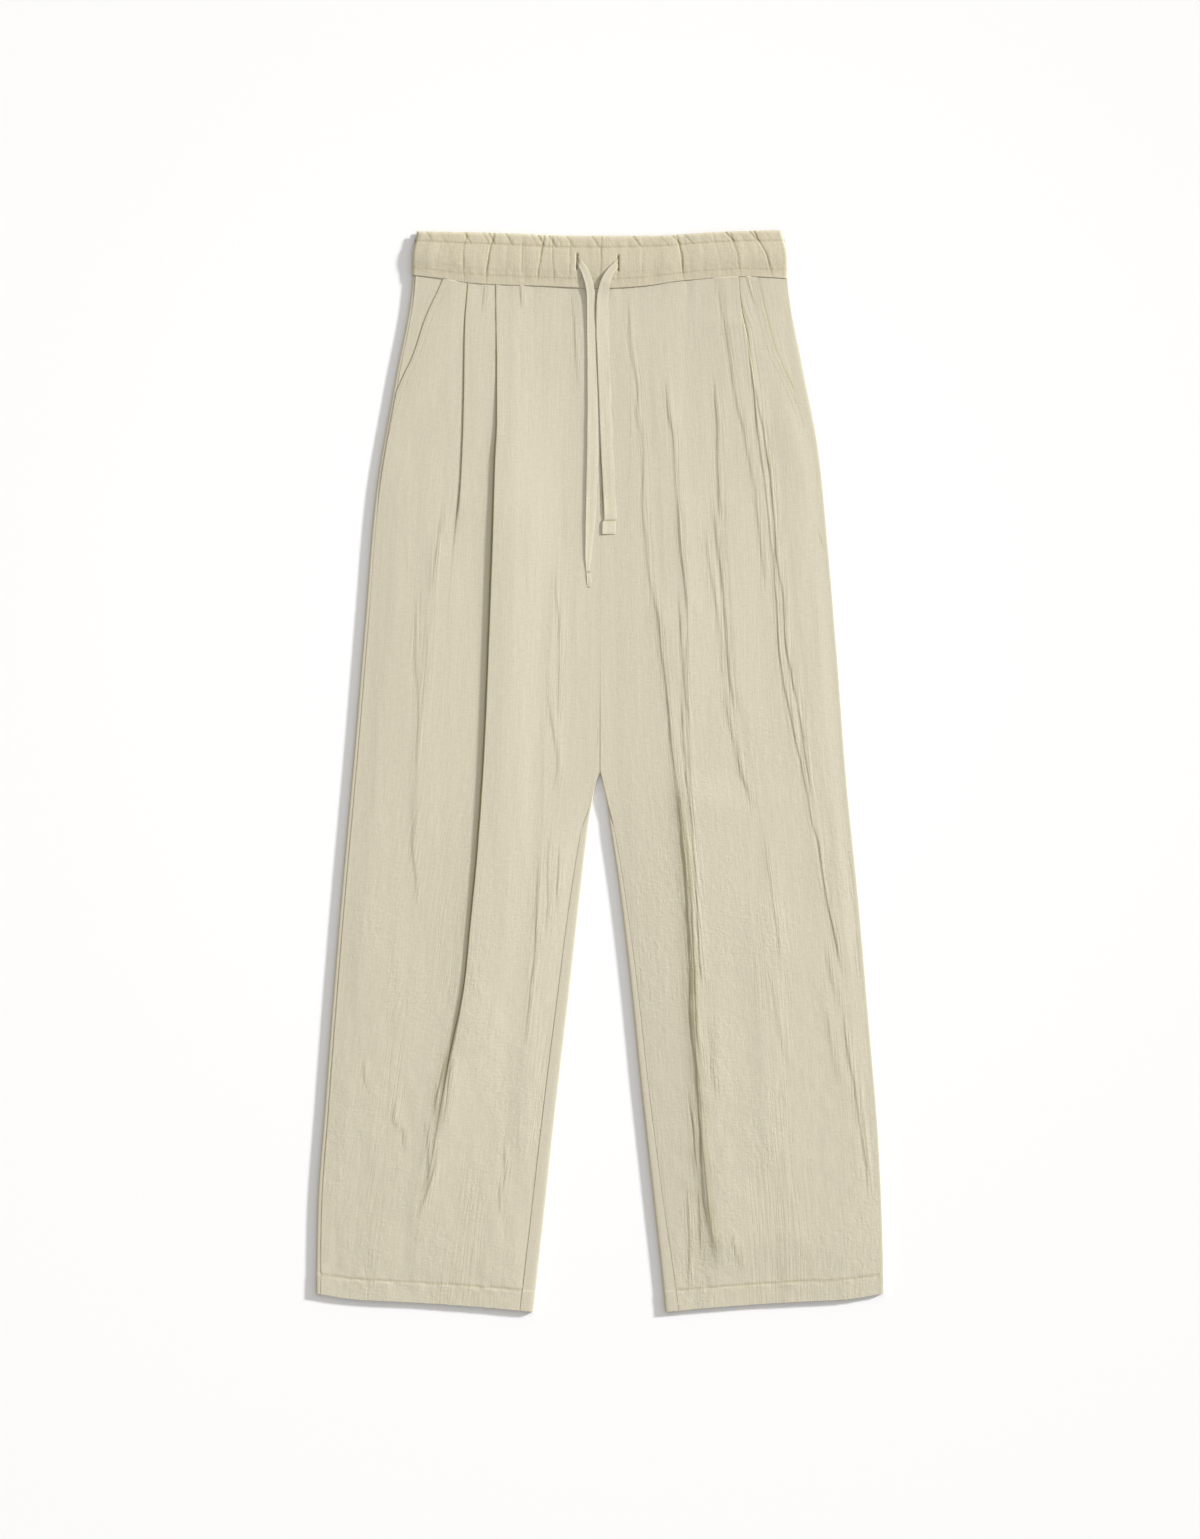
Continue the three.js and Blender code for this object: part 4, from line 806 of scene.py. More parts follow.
def make_facing(leg):
    """The cloth behind the slanted pocket mouth, from the side seam in under the front."""
    level = np.linspace(TOP, POCKET_END, FACING_ROWS)[:, None]
    start, stop = -leg.seam_out(level), -(leg.mouth(level) - FACING_UNDER)
    m = mix(start, stop, np.linspace(0, 1, FACING_COLUMNS)[None, :])
    m = np.hstack([m[:, :1], m[:, :1] + RIM, m[:, 1:]])
    lift = WAIST_LIFT * np.clip((level - TOP + ROW_STEP) / ROW_STEP, 0, 1)
    z = Z_FRONT + puffed(leg, level, -m) + lift - SEAM_STEP * leg.sign * np.exp(-(m - start) / 1.1)
    z = z + 0.5 * crinkled(-leg.sign * m, level) * smooth(0, 8, m - start)
    points = tucked(leg.place(level, -m, z))
    piece = grid_mesh(f"pocket_facing_{leg.name}_cloth", points, leg.sign > 0,
                      cloth_coordinates(points))
    # Painted shade under the front's edge at the pocket mouth, under the waistband and along the side
    # seam.
    shade = 0.35 * bell(m + leg.front_out(level) + 0.3, 1.2) + 0.04 * bell(TOP - level, 1.6)
    shade = np.clip(shade + 0.35 * bell(m - start, 1.0) * leg.outer_shows(level), 0, 0.85)
    note_cloth(piece, points.shape[:2], shade=np.vstack([shade[:1], shade]), crinkle=0.2, pucker=0.1)
    return thicken(piece)


# Waistband
HALF_BAND = 188.2
BAND_HIGH = 52.0            # about, for the grain of its gathers
BAND_SIDE = rows(
    "y left right", (541, 183.2, 181.9), (531, 184.4, 184), (524, 186.8, 186.4),
    (515, 188.2, 187.9), (492, 188.2, 187.2))
BAND_ROWS = rows(
    "f thick gather", (0, 1.85, 0.3), (0.03, 1.9, 0.3), (0.12, 2.1, 0.5), (0.18, 2.3, 0.6),
    (0.21, 2.34, 0.7), (0.25, 2.5, 0.8), (0.36, 3.0, 1), (0.5, 3.2, 1), (0.64, 3.1, 1),
    (0.74, 2.86, 1), (0.78, 2.74, 0.8), (0.82, 2.76, 0.8), (0.92, 2.65, 1), (1, 2.1, 1))
GATHERS = rows(
    "x depth lean width", (-177, 0.15, 2, 5), (-162, 0.2, 1, 3), (-137, 0.8, -1, 1.1),
    (-124, 0.25, 1, 2), (-111.5, 1.4, 6, 0.8), (-94, 0.25, 0, 2), (-78, 0.4, -3, 2),
    (-60, 1.2, 6, 0.8), (-47, 0.7, -4, 1.0), (-30, 0.6, 0, 1.1), (-12, 0.2, 0, 2),
    (1, 0.7, 2, 1.0), (28, 0.2, 0, 3), (42, 0.35, 4, 1.2), (62, 0.15, -3, 3),
    (81.5, 1.5, -5, 0.8), (88, 0.35, -7, 1.4), (104, 0.2, -3, 2), (119, 0.4, -7, 1.3),
    (137.5, 0.7, -7, 1.0), (159, 0.3, 0, 3), (166, 1.5, -14, 0.8), (180, 0.2, 0, 3))
FRILL = rows(
    "x depth", (-175, 0.5), (-162, 0.3), (-136, 0.9), (-117, 0.7), (-111, 1.1), (-93.5, 1.0),
    (-67.5, 0.6), (-60.5, 1.2), (-49, 1.1), (-42, 0.5), (-31, 1.0), (-5, 1.1), (10, 0.3),
    (37, 1.2), (52, 0.3), (65, 0.6), (77.5, 1.1), (90, 1.0), (110, 0.3), (132.5, 1.5),
    (145, 0.4), (157, 1.3), (172, 0.4))
FRILL_SLANT = 7.0
FURROW_DEEP, NOTCH_DEEP = 0.36, 0.38    # at depth 1 in the two tables above
BAND_INSIDE = 0.9           # space between its two halves
BAND_BACK_THICK = 2.3
BAND_EDGE = 3.2             # radius of its two sides
SLOT_DEEP = 1.4             # of a buttonhole
BUTTONHOLES = ((-23.2, 509.5), (17.9, 507.5))
HALF_HOLE = 8.5             # half the length of a buttonhole
BAND_LINES = (0.19, 0.79)   # shares of its height where the casing and the header are sewn
BACK_SHIFT = 61.0           # the back's gathers lie elsewhere

band_left = curve(BAND_SIDE, "left")
band_right = curve(BAND_SIDE, "right")
band_thick = curve(BAND_ROWS, "thick", "f")
band_gather = curve(BAND_ROWS, "gather", "f")


def band_place(x, f, z, dip=0.0):
    """Points of the waistband from columns x, rows f (0 at the seam, 1 at the frilled edge)."""
    y = mix(waist_seam(x), band_top(x), f) - dip * np.clip(f, 0, 1) ** 2
    t = (x + HALF_BAND) / (2 * HALF_BAND)
    return np.stack([mix(-band_left(y), band_right(y), t), y, z + 0 * y], axis=-1)


def furrows(x, f):
    """Depth of the gathers: grooves, each with its own width, that lean as they rise."""
    total = 0 * (x + f)
    for k, (at, depth, lean, width) in enumerate(zip(*GATHERS.values())):
        wander = 0.8 * noise(f * BAND_HIGH, 19.0 * k, 11, 1, 54)
        reach = 1 + 0.4 * noise(f * BAND_HIGH, 23.0 * k, 14, 1, 55)
        line = at + lean * (f - 0.5) + wander
        total = total + FURROW_DEEP * depth * reach * bell(x - line, width)
    return total


def frill(x, f):
    """Depth of the notches in the frilled edge: short strokes that slant down to the right."""
    total = 0 * (x + f)
    for at, depth in zip(*FRILL.values()):
        total = total + NOTCH_DEEP * depth * bell(x - at - FRILL_SLANT * (0.9 - f) / 0.2, 0.9)
    return total * smooth(0.74, 0.82, f)


def side_round(x):
    """Share of full thickness left near the band's two sides: a quarter circle."""
    inside = np.clip((HALF_BAND - np.abs(x)) / BAND_EDGE, 0, 1)
    return np.sqrt(1 - (1 - inside) ** 2)


def band_columns():
    """Column places: even in the middle, closer together where the sides round off."""
    edge = HALF_BAND - BAND_EDGE * (1 - np.cos(np.linspace(0, math.pi / 2, 9)))[:-1]
    middle = np.linspace(-HALF_BAND + BAND_EDGE, HALF_BAND - BAND_EDGE, BAND_COLUMNS)
    return np.concatenate([-edge, middle, edge[::-1]])


def make_band(name, front):
    """Half of the waistband as a closed casing: its outer face from the seam to the frilled edge,
    round that edge and back along its inner face. The back half lies upside down."""
    x = band_columns()[None, :]
    up = np.linspace(0, 1, BAND_ROW_COUNT)
    f = np.concatenate([up, up[::-1][4::6]])[:, None]
    outside = (np.arange(len(f)) < len(up))[:, None]
    base = BAND_BACK_THICK + SEAM_GAP + (BAND_INSIDE - SEAM_GAP) * (
        1 - np.exp(-(HALF_BAND - np.abs(x)) / 14))
    across, high = x + (0 if front else BACK_SHIFT), f * BAND_HIGH
    deep, notch = furrows(across, f), frill(across, f)
    uneven = 0.1 * noise(across, high, 6, 30, 51) + 0.16 * noise(across, high, 15, 60, 52)
    uneven = uneven + 0.05 * noise(across + 3 * noise(across, high, 9, 12, 57), high, 4.5, 9, 56)
    stitched = 0.12 * noise(across, high, 3.2, 4, 53) * (bell(f - 0.21, 0.05) + bell(f - 0.79, 0.04))
    body = band_thick(f) - (deep + notch) * band_gather(f) + (uneven + stitched) * smooth(0, 0.12, f)
    round_off = side_round(x) * (1 - 0.55 * smooth(0.965, 1.0, f))
    if front:
        z = np.where(outside, base + 0.7 + (np.maximum(0.9, body) - 0.7) * round_off,
                     base + 0.7 * (1 - round_off))
    else:
        z = np.where(outside, np.clip(3.6 - body, 0, 2.0) * 0.55 + 1.2 * (1 - round_off),
                     BAND_BACK_THICK - 0.4 * (1 - round_off))
    # Painted shade in the gathers' furrows and the frill's notches, along the seam and along both sewn
    # lines.
    shade = 1.2 * np.clip(deep * (deep > 0.15), 0, 1.0) * smooth(0.02, 0.3, f) + 1.1 * notch
    shade = shade + 0.08 * bell(f, 0.02) + 0.2 * sum(bell(f - line, 0.018) for line in BAND_LINES)
    for at_x, at_y in BUTTONHOLES if front else ():
        place = band_place(x, f, 0)
        slot = bell(place[..., 0] - at_x, 0.9)
        slot = slot * smooth(HALF_HOLE + 1, HALF_HOLE - 2, np.abs(place[..., 1] - at_y))
        z = np.where(outside, z - SLOT_DEEP * slot, z)
        # Painted shade in the buttonhole.
        shade = shade + 0.6 * slot
    dip = 0.9 * np.clip(frill(across, np.ones_like(x)), 0, 1.2)
    points = band_place(x + 0 * f, f + 0 * x, z, dip + 0 * f).swapaxes(0, 1)
    uv = np.stack([x + 0 * f, points[..., 1].T - (1 - outside) * 60], axis=-1).swapaxes(0, 1) * MM
    piece = grid_mesh(name, points, not front, uv, closed=True)
    note_cloth(piece, points.shape[:2], shade=(np.clip(shade, 0, 0.8) * outside).T, crinkle=0.2,
               pucker=0.7)
    return piece


# Drawstring: the two free ends of a flat tape. Its route; the turn of its width away from +X as
# seen from above, which follows the upright buttonhole at first; its roll; its share of full
# width; and its thickness
TAPE_WIDTH = 13.0
TAPE_SQUARED = 0.3          # 1 would make its section oval, 0 square
TAPE_ENDS = {"drawstring_left": 199.0, "drawstring_right": 250.5}    # levels of their end seams
TAPES = {
    "drawstring_left": rows(
        "x y z turn roll wide thick", (-23.2, 511, 5.6, 86, 0, 0.66, 0.6),
        (-20.8, 508, 6.6, 76, 0, 0.6, 0.6), (-17, 502.5, 6.8, 58, 0, 0.6, 0.6),
        (-13.6, 495, 6.7, 38, -1, 0.64, 0.6), (-10.9, 486, 6.6, 20, -2, 0.64, 0.6),
        (-9.4, 475, 5.9, 7, -3, 0.65, 0.6), (-9.1, 460, 5.5, 0, -3, 0.66, 0.6),
        (-8.7, 440, 5.35, 0, -3, 0.69, 0.6), (-8.1, 400, 5.35, 0, -3, 0.75, 0.6),
        (-7.4, 360, 5.35, 0, -3, 0.86, 0.6), (-7.4, 325, 5.35, 0, -3, 0.91, 0.6),
        (-8.2, 291, 5.3, 0, -3, 0.89, 0.6), (-9.4, 258, 5.25, 0, -3, 0.79, 0.7),
        (-11.0, 232, 5.2, 0, -4, 0.61, 0.8), (-12.2, 212, 5.1, 0, -4, 0.44, 0.9),
        (-12.4, 201, 5.0, 0, 0, 0.28, 1.0), (-11.7, 196, 5.0, 0, 0, 0.3, 1.0),
        (-11.0, 190, 4.9, 0, 0, 0.36, 0.8), (-11.5, 183.5, 4.8, 0, 0, 0.16, 0.6)),
    "drawstring_right": rows(
        "x y z turn roll wide thick", (17.9, 508, 5.6, -86, 0, 0.66, 0.6),
        (14.8, 504.5, 6.8, -76, 0, 0.62, 0.6), (10.1, 498.5, 7.0, -58, -1, 0.66, 0.6),
        (6.2, 490.5, 7.1, -38, -2, 0.8, 0.6), (3.6, 481, 6.5, -18, -2, 0.88, 0.6),
        (2.6, 471, 5.8, -6, -3, 0.94, 0.6), (2.3, 455, 5.4, 0, -3, 0.98, 0.6),
        (2.4, 440, 5.2, 0, -2, 0.98, 0.6), (3.6, 405, 5.2, 0, -2, 0.96, 0.6),
        (5.0, 370, 5.2, 0, -2, 0.96, 0.6), (6.1, 340, 5.2, 0, -2, 0.96, 0.6),
        (7.4, 311, 5.2, 0, -2, 0.96, 0.6), (8.8, 285, 5.2, 0, -2, 0.96, 0.6),
        (9.8, 262, 5.2, 0, -3, 0.96, 0.65), (10.2, 252.5, 5.0, 0, -2, 0.96, 0.7),
        (8.9, 249.5, 4.9, 0, -2, 1.02, 1.0), (8.4, 243, 4.9, 0, -2, 1.04, 1.1),
        (8.2, 236.5, 4.9, 0, -2, 1.0, 0.9)),
}


def along_route(table, count):
    """Even places along a route through a table's points: each coordinate is a smooth curve of
    the distance run."""
    points = np.stack([table["x"], table["y"], table["z"]], axis=-1)
    run = np.concatenate([[0], np.cumsum(np.linalg.norm(np.diff(points, axis=0), axis=1))])
    at = np.linspace(0, run[-1], count)
    keyed = {**table, "run": run}
    columns = {name: curve(keyed, name, "run")(at) for name in table}
    return columns, at


def make_tape(name):
    """A flat tape: a flattened ring carried along its route, its width turned and rolled as the
    table says, with soft folds along it. Returns the piece, the centres of its rings in metres and
    its length."""
    route, run = along_route(TAPES[name], TAPE_RINGS)
    route, run = {key: values[:, None] for key, values in route.items()}, run[:, None]
    centre = np.hstack([route["x"], route["y"], route["z"]])
    turn, roll = np.radians(route["turn"]), np.radians(route["roll"])
    side = np.hstack([np.cos(turn) * np.cos(roll), np.sin(turn) * np.cos(roll), np.sin(roll)])
    up = np.hstack([-np.sin(roll) * np.cos(turn), -np.sin(roll) * np.sin(turn), np.cos(roll)])
    a = np.linspace(0, 2 * math.pi, TAPE_SIDES, endpoint=False)[None, :]
    half, upper = TAPE_WIDTH / 2 * route["wide"], np.sin(a) > 0
    w = np.sign(np.cos(a)) * np.abs(np.cos(a)) ** TAPE_SQUARED * half
    t = np.sign(np.sin(a)) * np.abs(np.sin(a)) ** TAPE_SQUARED
    t = t * route["thick"] / 2 * (0.7 - 0.4 * w / half)
    fold = 0.28 * half * noise(run, 0.0, 70, 1, 63) - 0.2 * half
    sewn = bell(route["y"] - TAPE_ENDS[name], 0.7) * upper
    t = t - upper * 0.22 * bell(w - fold, 0.9) - 0.3 * sewn + 0.1 * noise(w, run, 4, 16, 61) * upper
    w = w + 0.2 * noise(run, np.sign(w), 14, 1, 62)
    points = centre[:, None, :] + w[..., None] * side[:, None, :] + t[..., None] * up[:, None, :]
    uv = np.stack([w, run + 0 * w], axis=-1) * MM
    piece = grid_mesh(f"{name}_tape", points, False, uv, closed=True)
    # Painted shade along the soft fold, in the sewn end, towards the tape's left edge, and where it
    # comes out of its buttonhole.
    shade = 0.16 * upper * bell(w - fold, 0.8) + 0.6 * sewn + 0.3 * smooth(0.8, 1.0, -w / half)
    note_cloth(piece, w.shape, shade=shade + 0.4 * smooth(7, 1, run), crinkle=0.3, pucker=0.1)
    return piece, centre * MM, run[-1, 0] * MM


# Stitches
STITCH_LONG = 2.1
STITCH_PITCH = 3.0
THREAD = 0.34
THREAD_LIFT = 0.02
FLY = rows(
    "y x", (476, 29), (428, 31), (301, 30), (287, 27), (281, 22), (278, 15))
FLY_LEVELS = np.concatenate([np.linspace(476, 300, 60), np.linspace(298, 278, 24)])


def stitch_line(name, lines, trees):
    """Rows of stitches as one mesh: short threads along each line, end to end with gaps, each a
    pipe that thins and sinks at its ends, pressed half into the cloth under it. Each line is an
    array of (x, y) points."""
    places, ways = [], []
    for line in lines:
        run = np.concatenate([[0], np.cumsum(np.linalg.norm(np.diff(line, axis=0), axis=1))])
        at = np.arange(STITCH_PITCH / 2, run[-1], STITCH_PITCH)
        here, ahead, behind = (
            np.stack([np.interp(at + step, run, values) for values in line.T], -1)
            for step in (0, 0.5, -0.5))
        places.append(here)
        ways.append((ahead - behind) / np.linalg.norm(ahead - behind, axis=1, keepdims=True))
    places, ways = np.concatenate(places), np.concatenate(ways)
    height = np.array([surface_height(trees, *place) for place in places])
    held = np.isfinite(height)
    x, y, z, way_x, way_y = (
        values[held, None, None] for values in (*places.T, height, *ways.T))
    a = np.linspace(0, 2 * math.pi, THREAD_SIDES, endpoint=False)
    along = np.array([-0.5, -0.3, 0.3, 0.5])[:, None] * STITCH_LONG
    fat = np.array([0.25, 1.0, 1.0, 0.25])[:, None] * THREAD / 2
    sink = np.array([-0.2, 0.0, 0.0, -0.2])[:, None]
    out = fat * np.cos(a)
    points = np.stack([x + along * way_x - out * way_y, y + along * way_y + out * way_x,
                       z + THREAD_LIFT + sink + fat * np.sin(a)], axis=-1)
    index = np.arange(points[..., 0].size).reshape(points.shape[:3])
    pipe = np.concatenate([index, index[..., :1]], axis=2)
    quads = np.stack([pipe[:, :-1, :-1], pipe[:, :-1, 1:], pipe[:, 1:, 1:], pipe[:, 1:, :-1]], -1)
    faces = quads.reshape(-1, 4).tolist() + index[:, [0, -1]].reshape(-1, THREAD_SIDES).tolist()
    return face_outwards(make_mesh(name, points, faces))


def hem_stitches(leg):
    """The line that holds the turned-up hem."""
    p = np.linspace(leg.front_out(HEM_SEAM) - 1, leg.seam_in(HEM_SEAM) + 1, 60)
    return leg.place(HEM_SEAM, p, 0 * p)[:, :2]


def mouth_stitches(leg):
    """Two lines beside the pocket mouth."""
    y = np.linspace(TOP - 3, POCKET_END + 4, 60)
    return [leg.place(y, leg.mouth(y) - away, 0 * y)[:, :2] for away in (2.2, 7.0)]


def fly_stitches(leg):
    """The J-shaped line of the sewn-up fly, on the right front only, and the line beside the
    centre seam above the crotch."""
    if leg.name == "left":
        return [np.array([(-2.0, 44.0), (-2.0, 22.0)])]
    return [np.stack([curve(FLY, "x")(FLY_LEVELS), FLY_LEVELS], -1)]


def band_stitches():
    """The header line under the frill, the casing line over the seam and two buttonholes."""
    x = np.linspace(-HALF_BAND + 4, HALF_BAND - 4, 120)
    lines = [band_place(x, f + 0 * x, 0)[:, :2] for f in BAND_LINES]
    for at_x, at_y in BUTTONHOLES:
        a = np.linspace(0, 2 * math.pi, 25)
        lines.append(np.stack([at_x + 2.0 * np.cos(a), at_y + HALF_HOLE * np.sin(a)], -1))
    return lines


def surface_tree(piece):
    """A search tree over a piece as it is finished."""
    bpy.context.view_layer.update()
    return BVHTree.FromObject(piece, bpy.context.evaluated_depsgraph_get())


def surface_height(trees, x, y):
    """The highest surface of several pieces over a place, in millimetres."""
    start, down = Vector((x * MM, y * MM, 0.1)), Vector((0, 0, -1))
    found = [tree.ray_cast(start, down)[0] for tree in trees]
    return max((hit.z / MM for hit in found if hit is not None), default=-math.inf)


class Nodes:
    """A material's node tree, with short ways to add and join its nodes."""

    def __init__(self, material):
        material.use_nodes = True
        self.tree = material.node_tree
        self.shader = self.tree.nodes["Principled BSDF"]

    def add(self, kind, **inputs):
        node = self.tree.nodes.new(kind)
        for name, value in inputs.items():
            self.put(node.inputs[name.replace("_", " ")], value)
        return node

    def put(self, socket, value):
        if isinstance(value, bpy.types.NodeSocket):
            self.tree.links.new(value, socket)
        else:
            socket.default_value = value

    def sum(self, operation, a, b=0.0):
        node = self.tree.nodes.new("ShaderNodeMath")
        node.operation = operation
        self.put(node.inputs[0], a)
        self.put(node.inputs[1], b)
        return node.outputs["Value"]

    def cells(self, place, wide, high, detail=2.0, distortion=0.0):
        """Noise whose patches are wide by high, in millimetres."""
        stretch = self.add("ShaderNodeMapping", Vector=place)
        stretch.inputs["Scale"].default_value = (1000 / wide, 1000 / high, 1000 / wide)
        noise_node = self.add("ShaderNodeTexNoise", Vector=stretch.outputs["Vector"], Scale=1.0,
                              Detail=detail, Distortion=distortion)
        return noise_node.outputs["Fac"]

    def note(self, name):
        node = self.tree.nodes.new("ShaderNodeAttribute")
        node.attribute_name = name
        return node.outputs["Fac"]

    def blend(self, factor, a, b):
        node = self.tree.nodes.new("ShaderNodeMix")
        node.data_type = "RGBA"
        self.put(node.inputs["Factor"], factor)
        for socket, value in ((node.inputs[6], a), (node.inputs[7], b)):
            self.put(socket, (*value, 1) if isinstance(value, tuple) else value)
        return node.outputs[2]


def ridges(nodes, value, sharp):
    """Thin ridges from smooth noise: highest where the noise crosses its middle value."""
    off = nodes.sum("ABSOLUTE", nodes.sum("SUBTRACT", value, 0.5))
    line = nodes.sum("SUBTRACT", 1.0, nodes.sum("MULTIPLY", off, 5.0))
    return nodes.sum("POWER", nodes.sum("MAXIMUM", line, 0.0), sharp)


def cloth_material(name, colour, weave=1.0, wave=1.0):
    """Crinkled cloth. Thin crinkles run along it where its crinkle note is high, with painted shade in
    them, short level ones where its pucker note is high, and painted shade from a note of its own
    darkens and warms its deep places. Level and upright thread streaks tint it a little. It has a
    dull sheen."""
    material = bpy.data.materials.new(name)
    nodes = Nodes(material)
    place = nodes.add("ShaderNodeTexCoord").outputs["UV"]
    crinkle, pucker, shade = nodes.note("crinkle"), nodes.note("pucker"), nodes.note("shade")

    along = ridges(nodes, nodes.cells(place, 4.5, 110, 2.0, 0.2), 3.0)
    level = nodes.cells(place, 7.0, 2.8, 2.0, 0.6)
    mottled = nodes.cells(place, 5.0, 12.0, 2.0, 1.2)
    level = nodes.sum("ADD", level, nodes.sum("MULTIPLY", mottled, 1.2))
    crepe = nodes.cells(place, 1.7, 3.2, 2.0, 0.3)
    slub = nodes.cells(place, 9.0, 1.1, 2.0)
    thread = nodes.cells(place, 0.8, 14.0, 1.0)

    tint = nodes.sum("ADD", nodes.sum("MULTIPLY", slub, 0.9), nodes.sum("MULTIPLY", thread, 0.7))
    tint = nodes.sum("ADD", tint, nodes.sum("MULTIPLY", crepe, 0.6))
    tint = nodes.sum("MULTIPLY", nodes.sum("SUBTRACT", tint, 0.7), 1.6 * weave)
    cloth = nodes.blend(tint, tuple(c * 0.93 for c in colour), tuple(min(1, c * 1.05) for c in colour))
    # Painted shade: the note of painted shade and the thin crinkle lines darken and warm the cloth
    # towards this deep colour.
    deep = (colour[0] * 0.34, colour[1] * 0.28, colour[2] * 0.02)
    painted_crinkle_shade = nodes.sum("MULTIPLY", nodes.sum("MULTIPLY", along, crinkle), 0.16 * wave)
    painted_darkness = nodes.sum("MINIMUM", nodes.sum("ADD", shade, painted_crinkle_shade), 0.9)
    nodes.put(nodes.shader.inputs["Base Color"], nodes.blend(painted_darkness, cloth, deep))
    nodes.put(nodes.shader.inputs["Roughness"], 0.88)
    nodes.put(nodes.shader.inputs["Specular IOR Level"], 0.2)
    nodes.put(nodes.shader.inputs["Sheen Weight"], 0.12)
    nodes.put(nodes.shader.inputs["Sheen Roughness"], 0.5)

    def raised(height, amount, distance, normal=None):
        bump = nodes.add("ShaderNodeBump", Height=height, Strength=amount, Distance=distance)
        if normal is not None:
            nodes.put(bump.inputs["Normal"], normal)
        return bump.outputs["Normal"]

    grain = nodes.sum("ADD", nodes.sum("MULTIPLY", slub, 0.6), nodes.sum("MULTIPLY", crepe, 1.0))
    surface = raised(nodes.sum("ADD", grain, nodes.sum("MULTIPLY", thread, 0.4)), 0.55 * weave, 0.00012)
    surface = raised(nodes.sum("MULTIPLY", level, pucker), 0.8 * wave, 0.00024, surface)
    surface = raised(nodes.sum("MULTIPLY", along, crinkle), 1.0 * wave, -0.00022, surface)
    nodes.put(nodes.shader.inputs["Normal"], surface)
    return material


def linear(red, green, blue):
    """Linear colour from the eight-bit values of a display."""
    return tuple(
        c / 255 / 12.92 if c / 255 <= 0.04045 else ((c / 255 + 0.055) / 1.055) ** 2.4
        for c in (red, green, blue))


def finish_piece(piece, material, slot, *nodes):
    """Gives a piece its material and its body, and hides the solids that it stands for. Its slot is not
    used.
    """
    piece.data.materials.append(material)
    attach(piece, "root")
    if nodes:
        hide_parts(*nodes)
    return piece


def aim(thing, target):
    direction = Vector(target) - thing.location
    thing.rotation_euler = direction.to_track_quat("-Z", "Y").to_euler()


def make_camera():
    """Straight above the trousers, as far off as one picture pixel to a millimetre asks."""
    data = bpy.data.cameras.new("camera")
    data.lens, data.sensor_width = LENS, SENSOR
    camera = bpy.data.objects.new("camera", data)
    bpy.context.scene.collection.objects.link(camera)
    away = PICTURE_HIGH * LENS / SENSOR + TOP_FRONT
    camera.location = (PICTURE_CENTRE[0] * MM, PICTURE_CENTRE[1] * MM, away * MM)
    data.clip_end = 50
    bpy.context.scene.camera = camera


def sun(name, strength, wide, height, side):
    """A far light: its strength on a surface that faces it, its width in degrees, and its place by
    height over the floor and turn from +X."""
    data = bpy.data.lights.new(name, "SUN")
    data.energy, data.angle = strength, math.radians(wide)
    light = bpy.data.objects.new(name, data)
    bpy.context.scene.collection.objects.link(light)
    low, turn = math.radians(height), math.radians(side)
    light.location = (2 * math.cos(low) * math.cos(turn), 2 * math.cos(low) * math.sin(turn),
                      2 * math.sin(low))
    aim(light, (0, 0, 0))


def make_light():
    """A white surround that is a little warm, a low key light from the upper right that throws
    short shadows, a broad soft one over it that models the folds, and a faint one over the
    middle."""
    world = bpy.data.worlds.new("surround")
    world.use_nodes = True
    world.node_tree.nodes["Background"].inputs["Color"].default_value = (1, 0.985, 0.955, 1)
    world.node_tree.nodes["Background"].inputs["Strength"].default_value = AMBIENT
    scene = bpy.context.scene
    scene.world = world
    sun("key", *KEY)
    sun("soft_key", *SOFT_KEY)
    data = bpy.data.lights.new("middle", "AREA")
    data.energy, data.size, place = MIDDLE
    middle = bpy.data.objects.new("middle", data)
    scene.collection.objects.link(middle)
    middle.location = place
    middle.visible_camera = False
    scene.view_settings.view_transform = "Standard"
    scene.view_settings.look = "None"
    scene.view_settings.exposure = 0.0


def make_floor():
    """A plain white floor just under the trousers."""
    corners = np.array([(-1, -1), (1, -1), (1, 1), (-1, 1)]) * FLOOR_HALF
    floor = make_mesh("floor", np.insert(corners, 2, FLOOR, axis=1), [(0, 1, 2, 3)])
    material = bpy.data.materials.new("floor_white")
    material.use_nodes = True
    shader = material.node_tree.nodes["Principled BSDF"]
    shader.inputs["Base Color"].default_value = (0.86, 0.86, 0.86, 1)
    shader.inputs["Roughness"].default_value = 0.95
    shader.inputs["Specular IOR Level"].default_value = 0.1
    floor.data.materials.append(material)


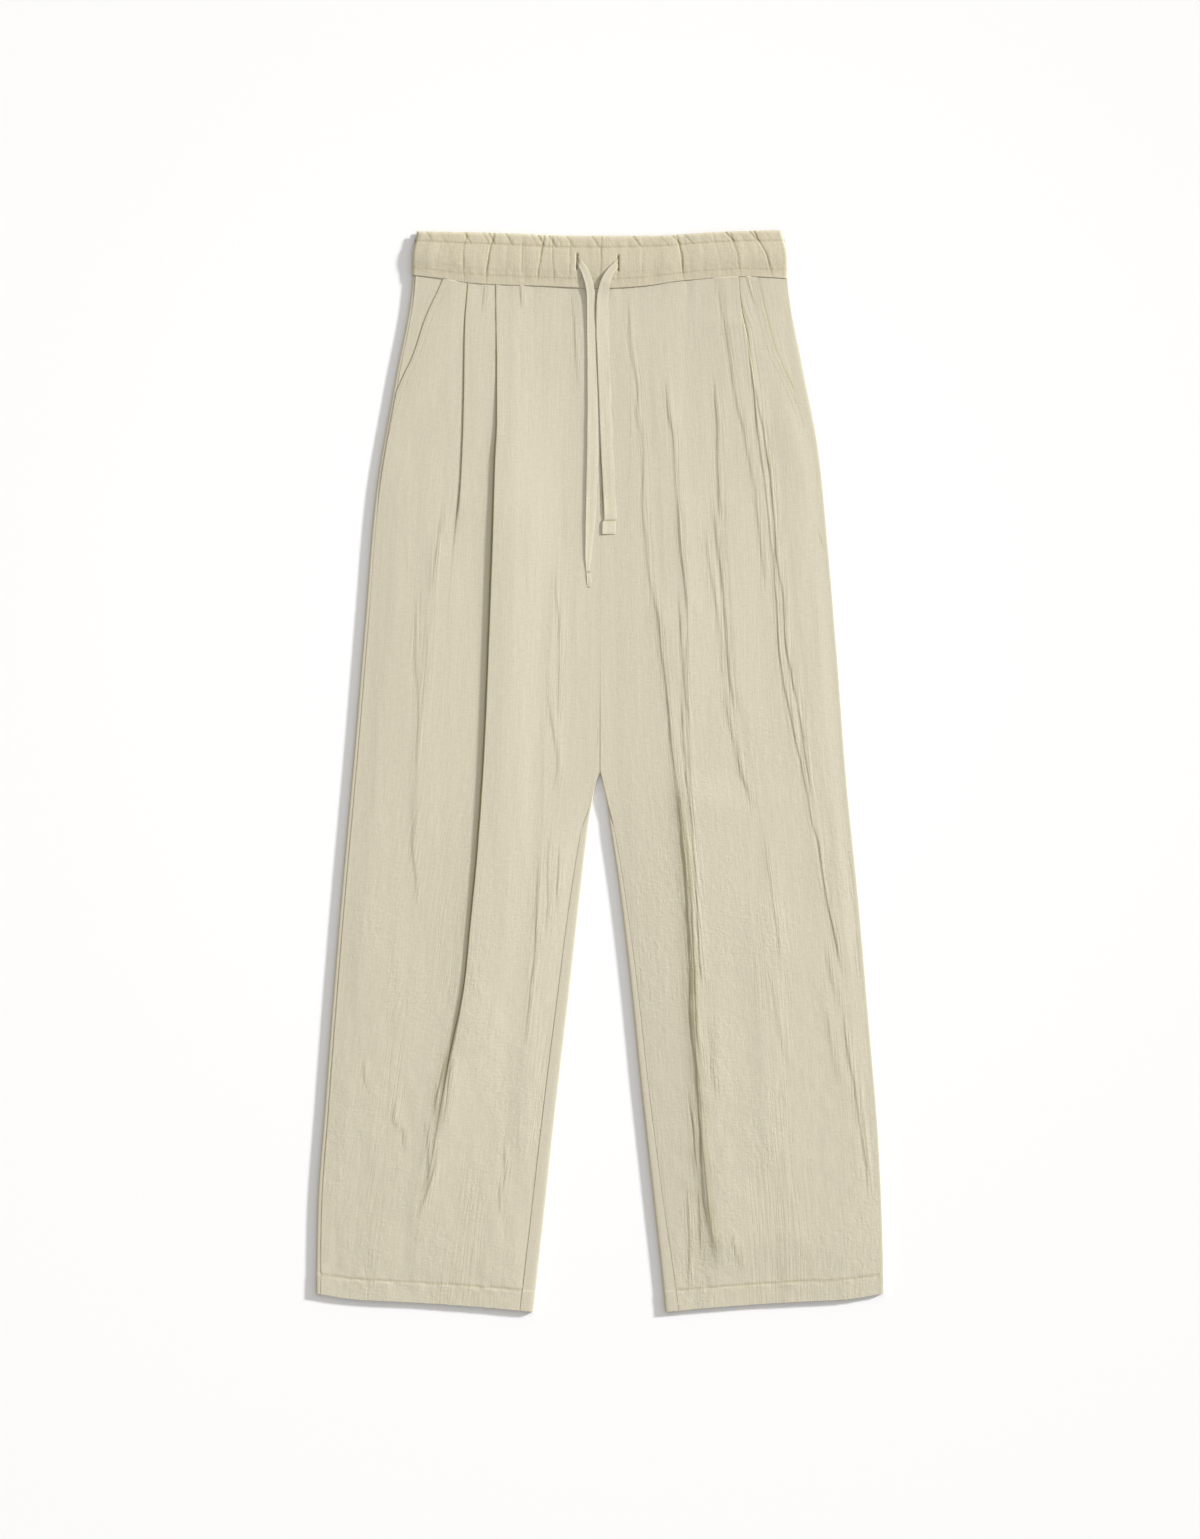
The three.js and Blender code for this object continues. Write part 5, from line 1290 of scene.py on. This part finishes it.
# Light and floor
AMBIENT = 0.56                              # strength of the surround
KEY = (5.9, 5.0, 16.0, 26.0)                # strength, width, height and turn
SOFT_KEY = (0.3, 38.0, 28.0, 30.0)
MIDDLE = (0.55, 0.5, (0.06, 0.17, 0.75))    # strength, size and place in metres
FLOOR = -0.2
FLOOR_HALF = 40000.0

make_camera()
make_light()
make_floor()

LEG_COLOUR = linear(196, 189, 169)
BAND_COLOUR = linear(193, 185, 162)
TAPE_COLOUR = linear(197, 190, 170)
leg_cloth = cloth_material("crinkled_leg_cloth", LEG_COLOUR)
band_cloth = cloth_material("gathered_band_cloth", BAND_COLOUR)
tape_cloth = cloth_material("tape_cloth", TAPE_COLOUR, wave=0.6)
thread_material = cloth_material("sewing_thread", linear(188, 180, 152), wave=0.2)

tapes = {}
for tape_name, hole in zip(TAPES, BUTTONHOLES):
    tape, centres, length = make_tape(tape_name)
    finish_piece(tape, tape_cloth, "tape_cloth", tape_name)
    tapes[tape_name] = tape

legs = {name: Leg(name) for name in LEG_TABLES}
pieces = {}
for name, leg in legs.items():
    back = finish_piece(make_back(leg), leg_cloth, "leg_cloth", f"back_{name}")
    front = finish_piece(make_front(leg), leg_cloth, "leg_cloth", f"front_{name}")
    facing = finish_piece(make_facing(leg), leg_cloth, "leg_cloth", f"pocket_facing_{name}")
    pieces.update({back.name: back, front.name: front, facing.name: facing})

band_back = finish_piece(make_band("waistband_back_cloth", False), band_cloth,
                         "waistband_cloth", "waistband_back")
band_front = finish_piece(make_band("waistband_front_cloth", True), band_cloth,
                          "waistband_cloth", "waistband_front")

leg_trees = {name: surface_tree(pieces[f"front_{name}_cloth"]) for name in legs}
facing_trees = {name: surface_tree(pieces[f"pocket_facing_{name}_cloth"]) for name in legs}
sewn_legs = [
    stitch_line(f"leg_stitches_{name}", [hem_stitches(leg), *mouth_stitches(leg), *fly_stitches(leg)],
                [leg_trees[name], facing_trees[name]])
    for name, leg in legs.items()]
sewn_band = stitch_line("waistband_stitches", band_stitches(), [surface_tree(band_front)])
for sewn in sewn_legs:
    finish_piece(sewn, thread_material, "leg_cloth")
finish_piece(sewn_band, thread_material, "waistband_cloth")
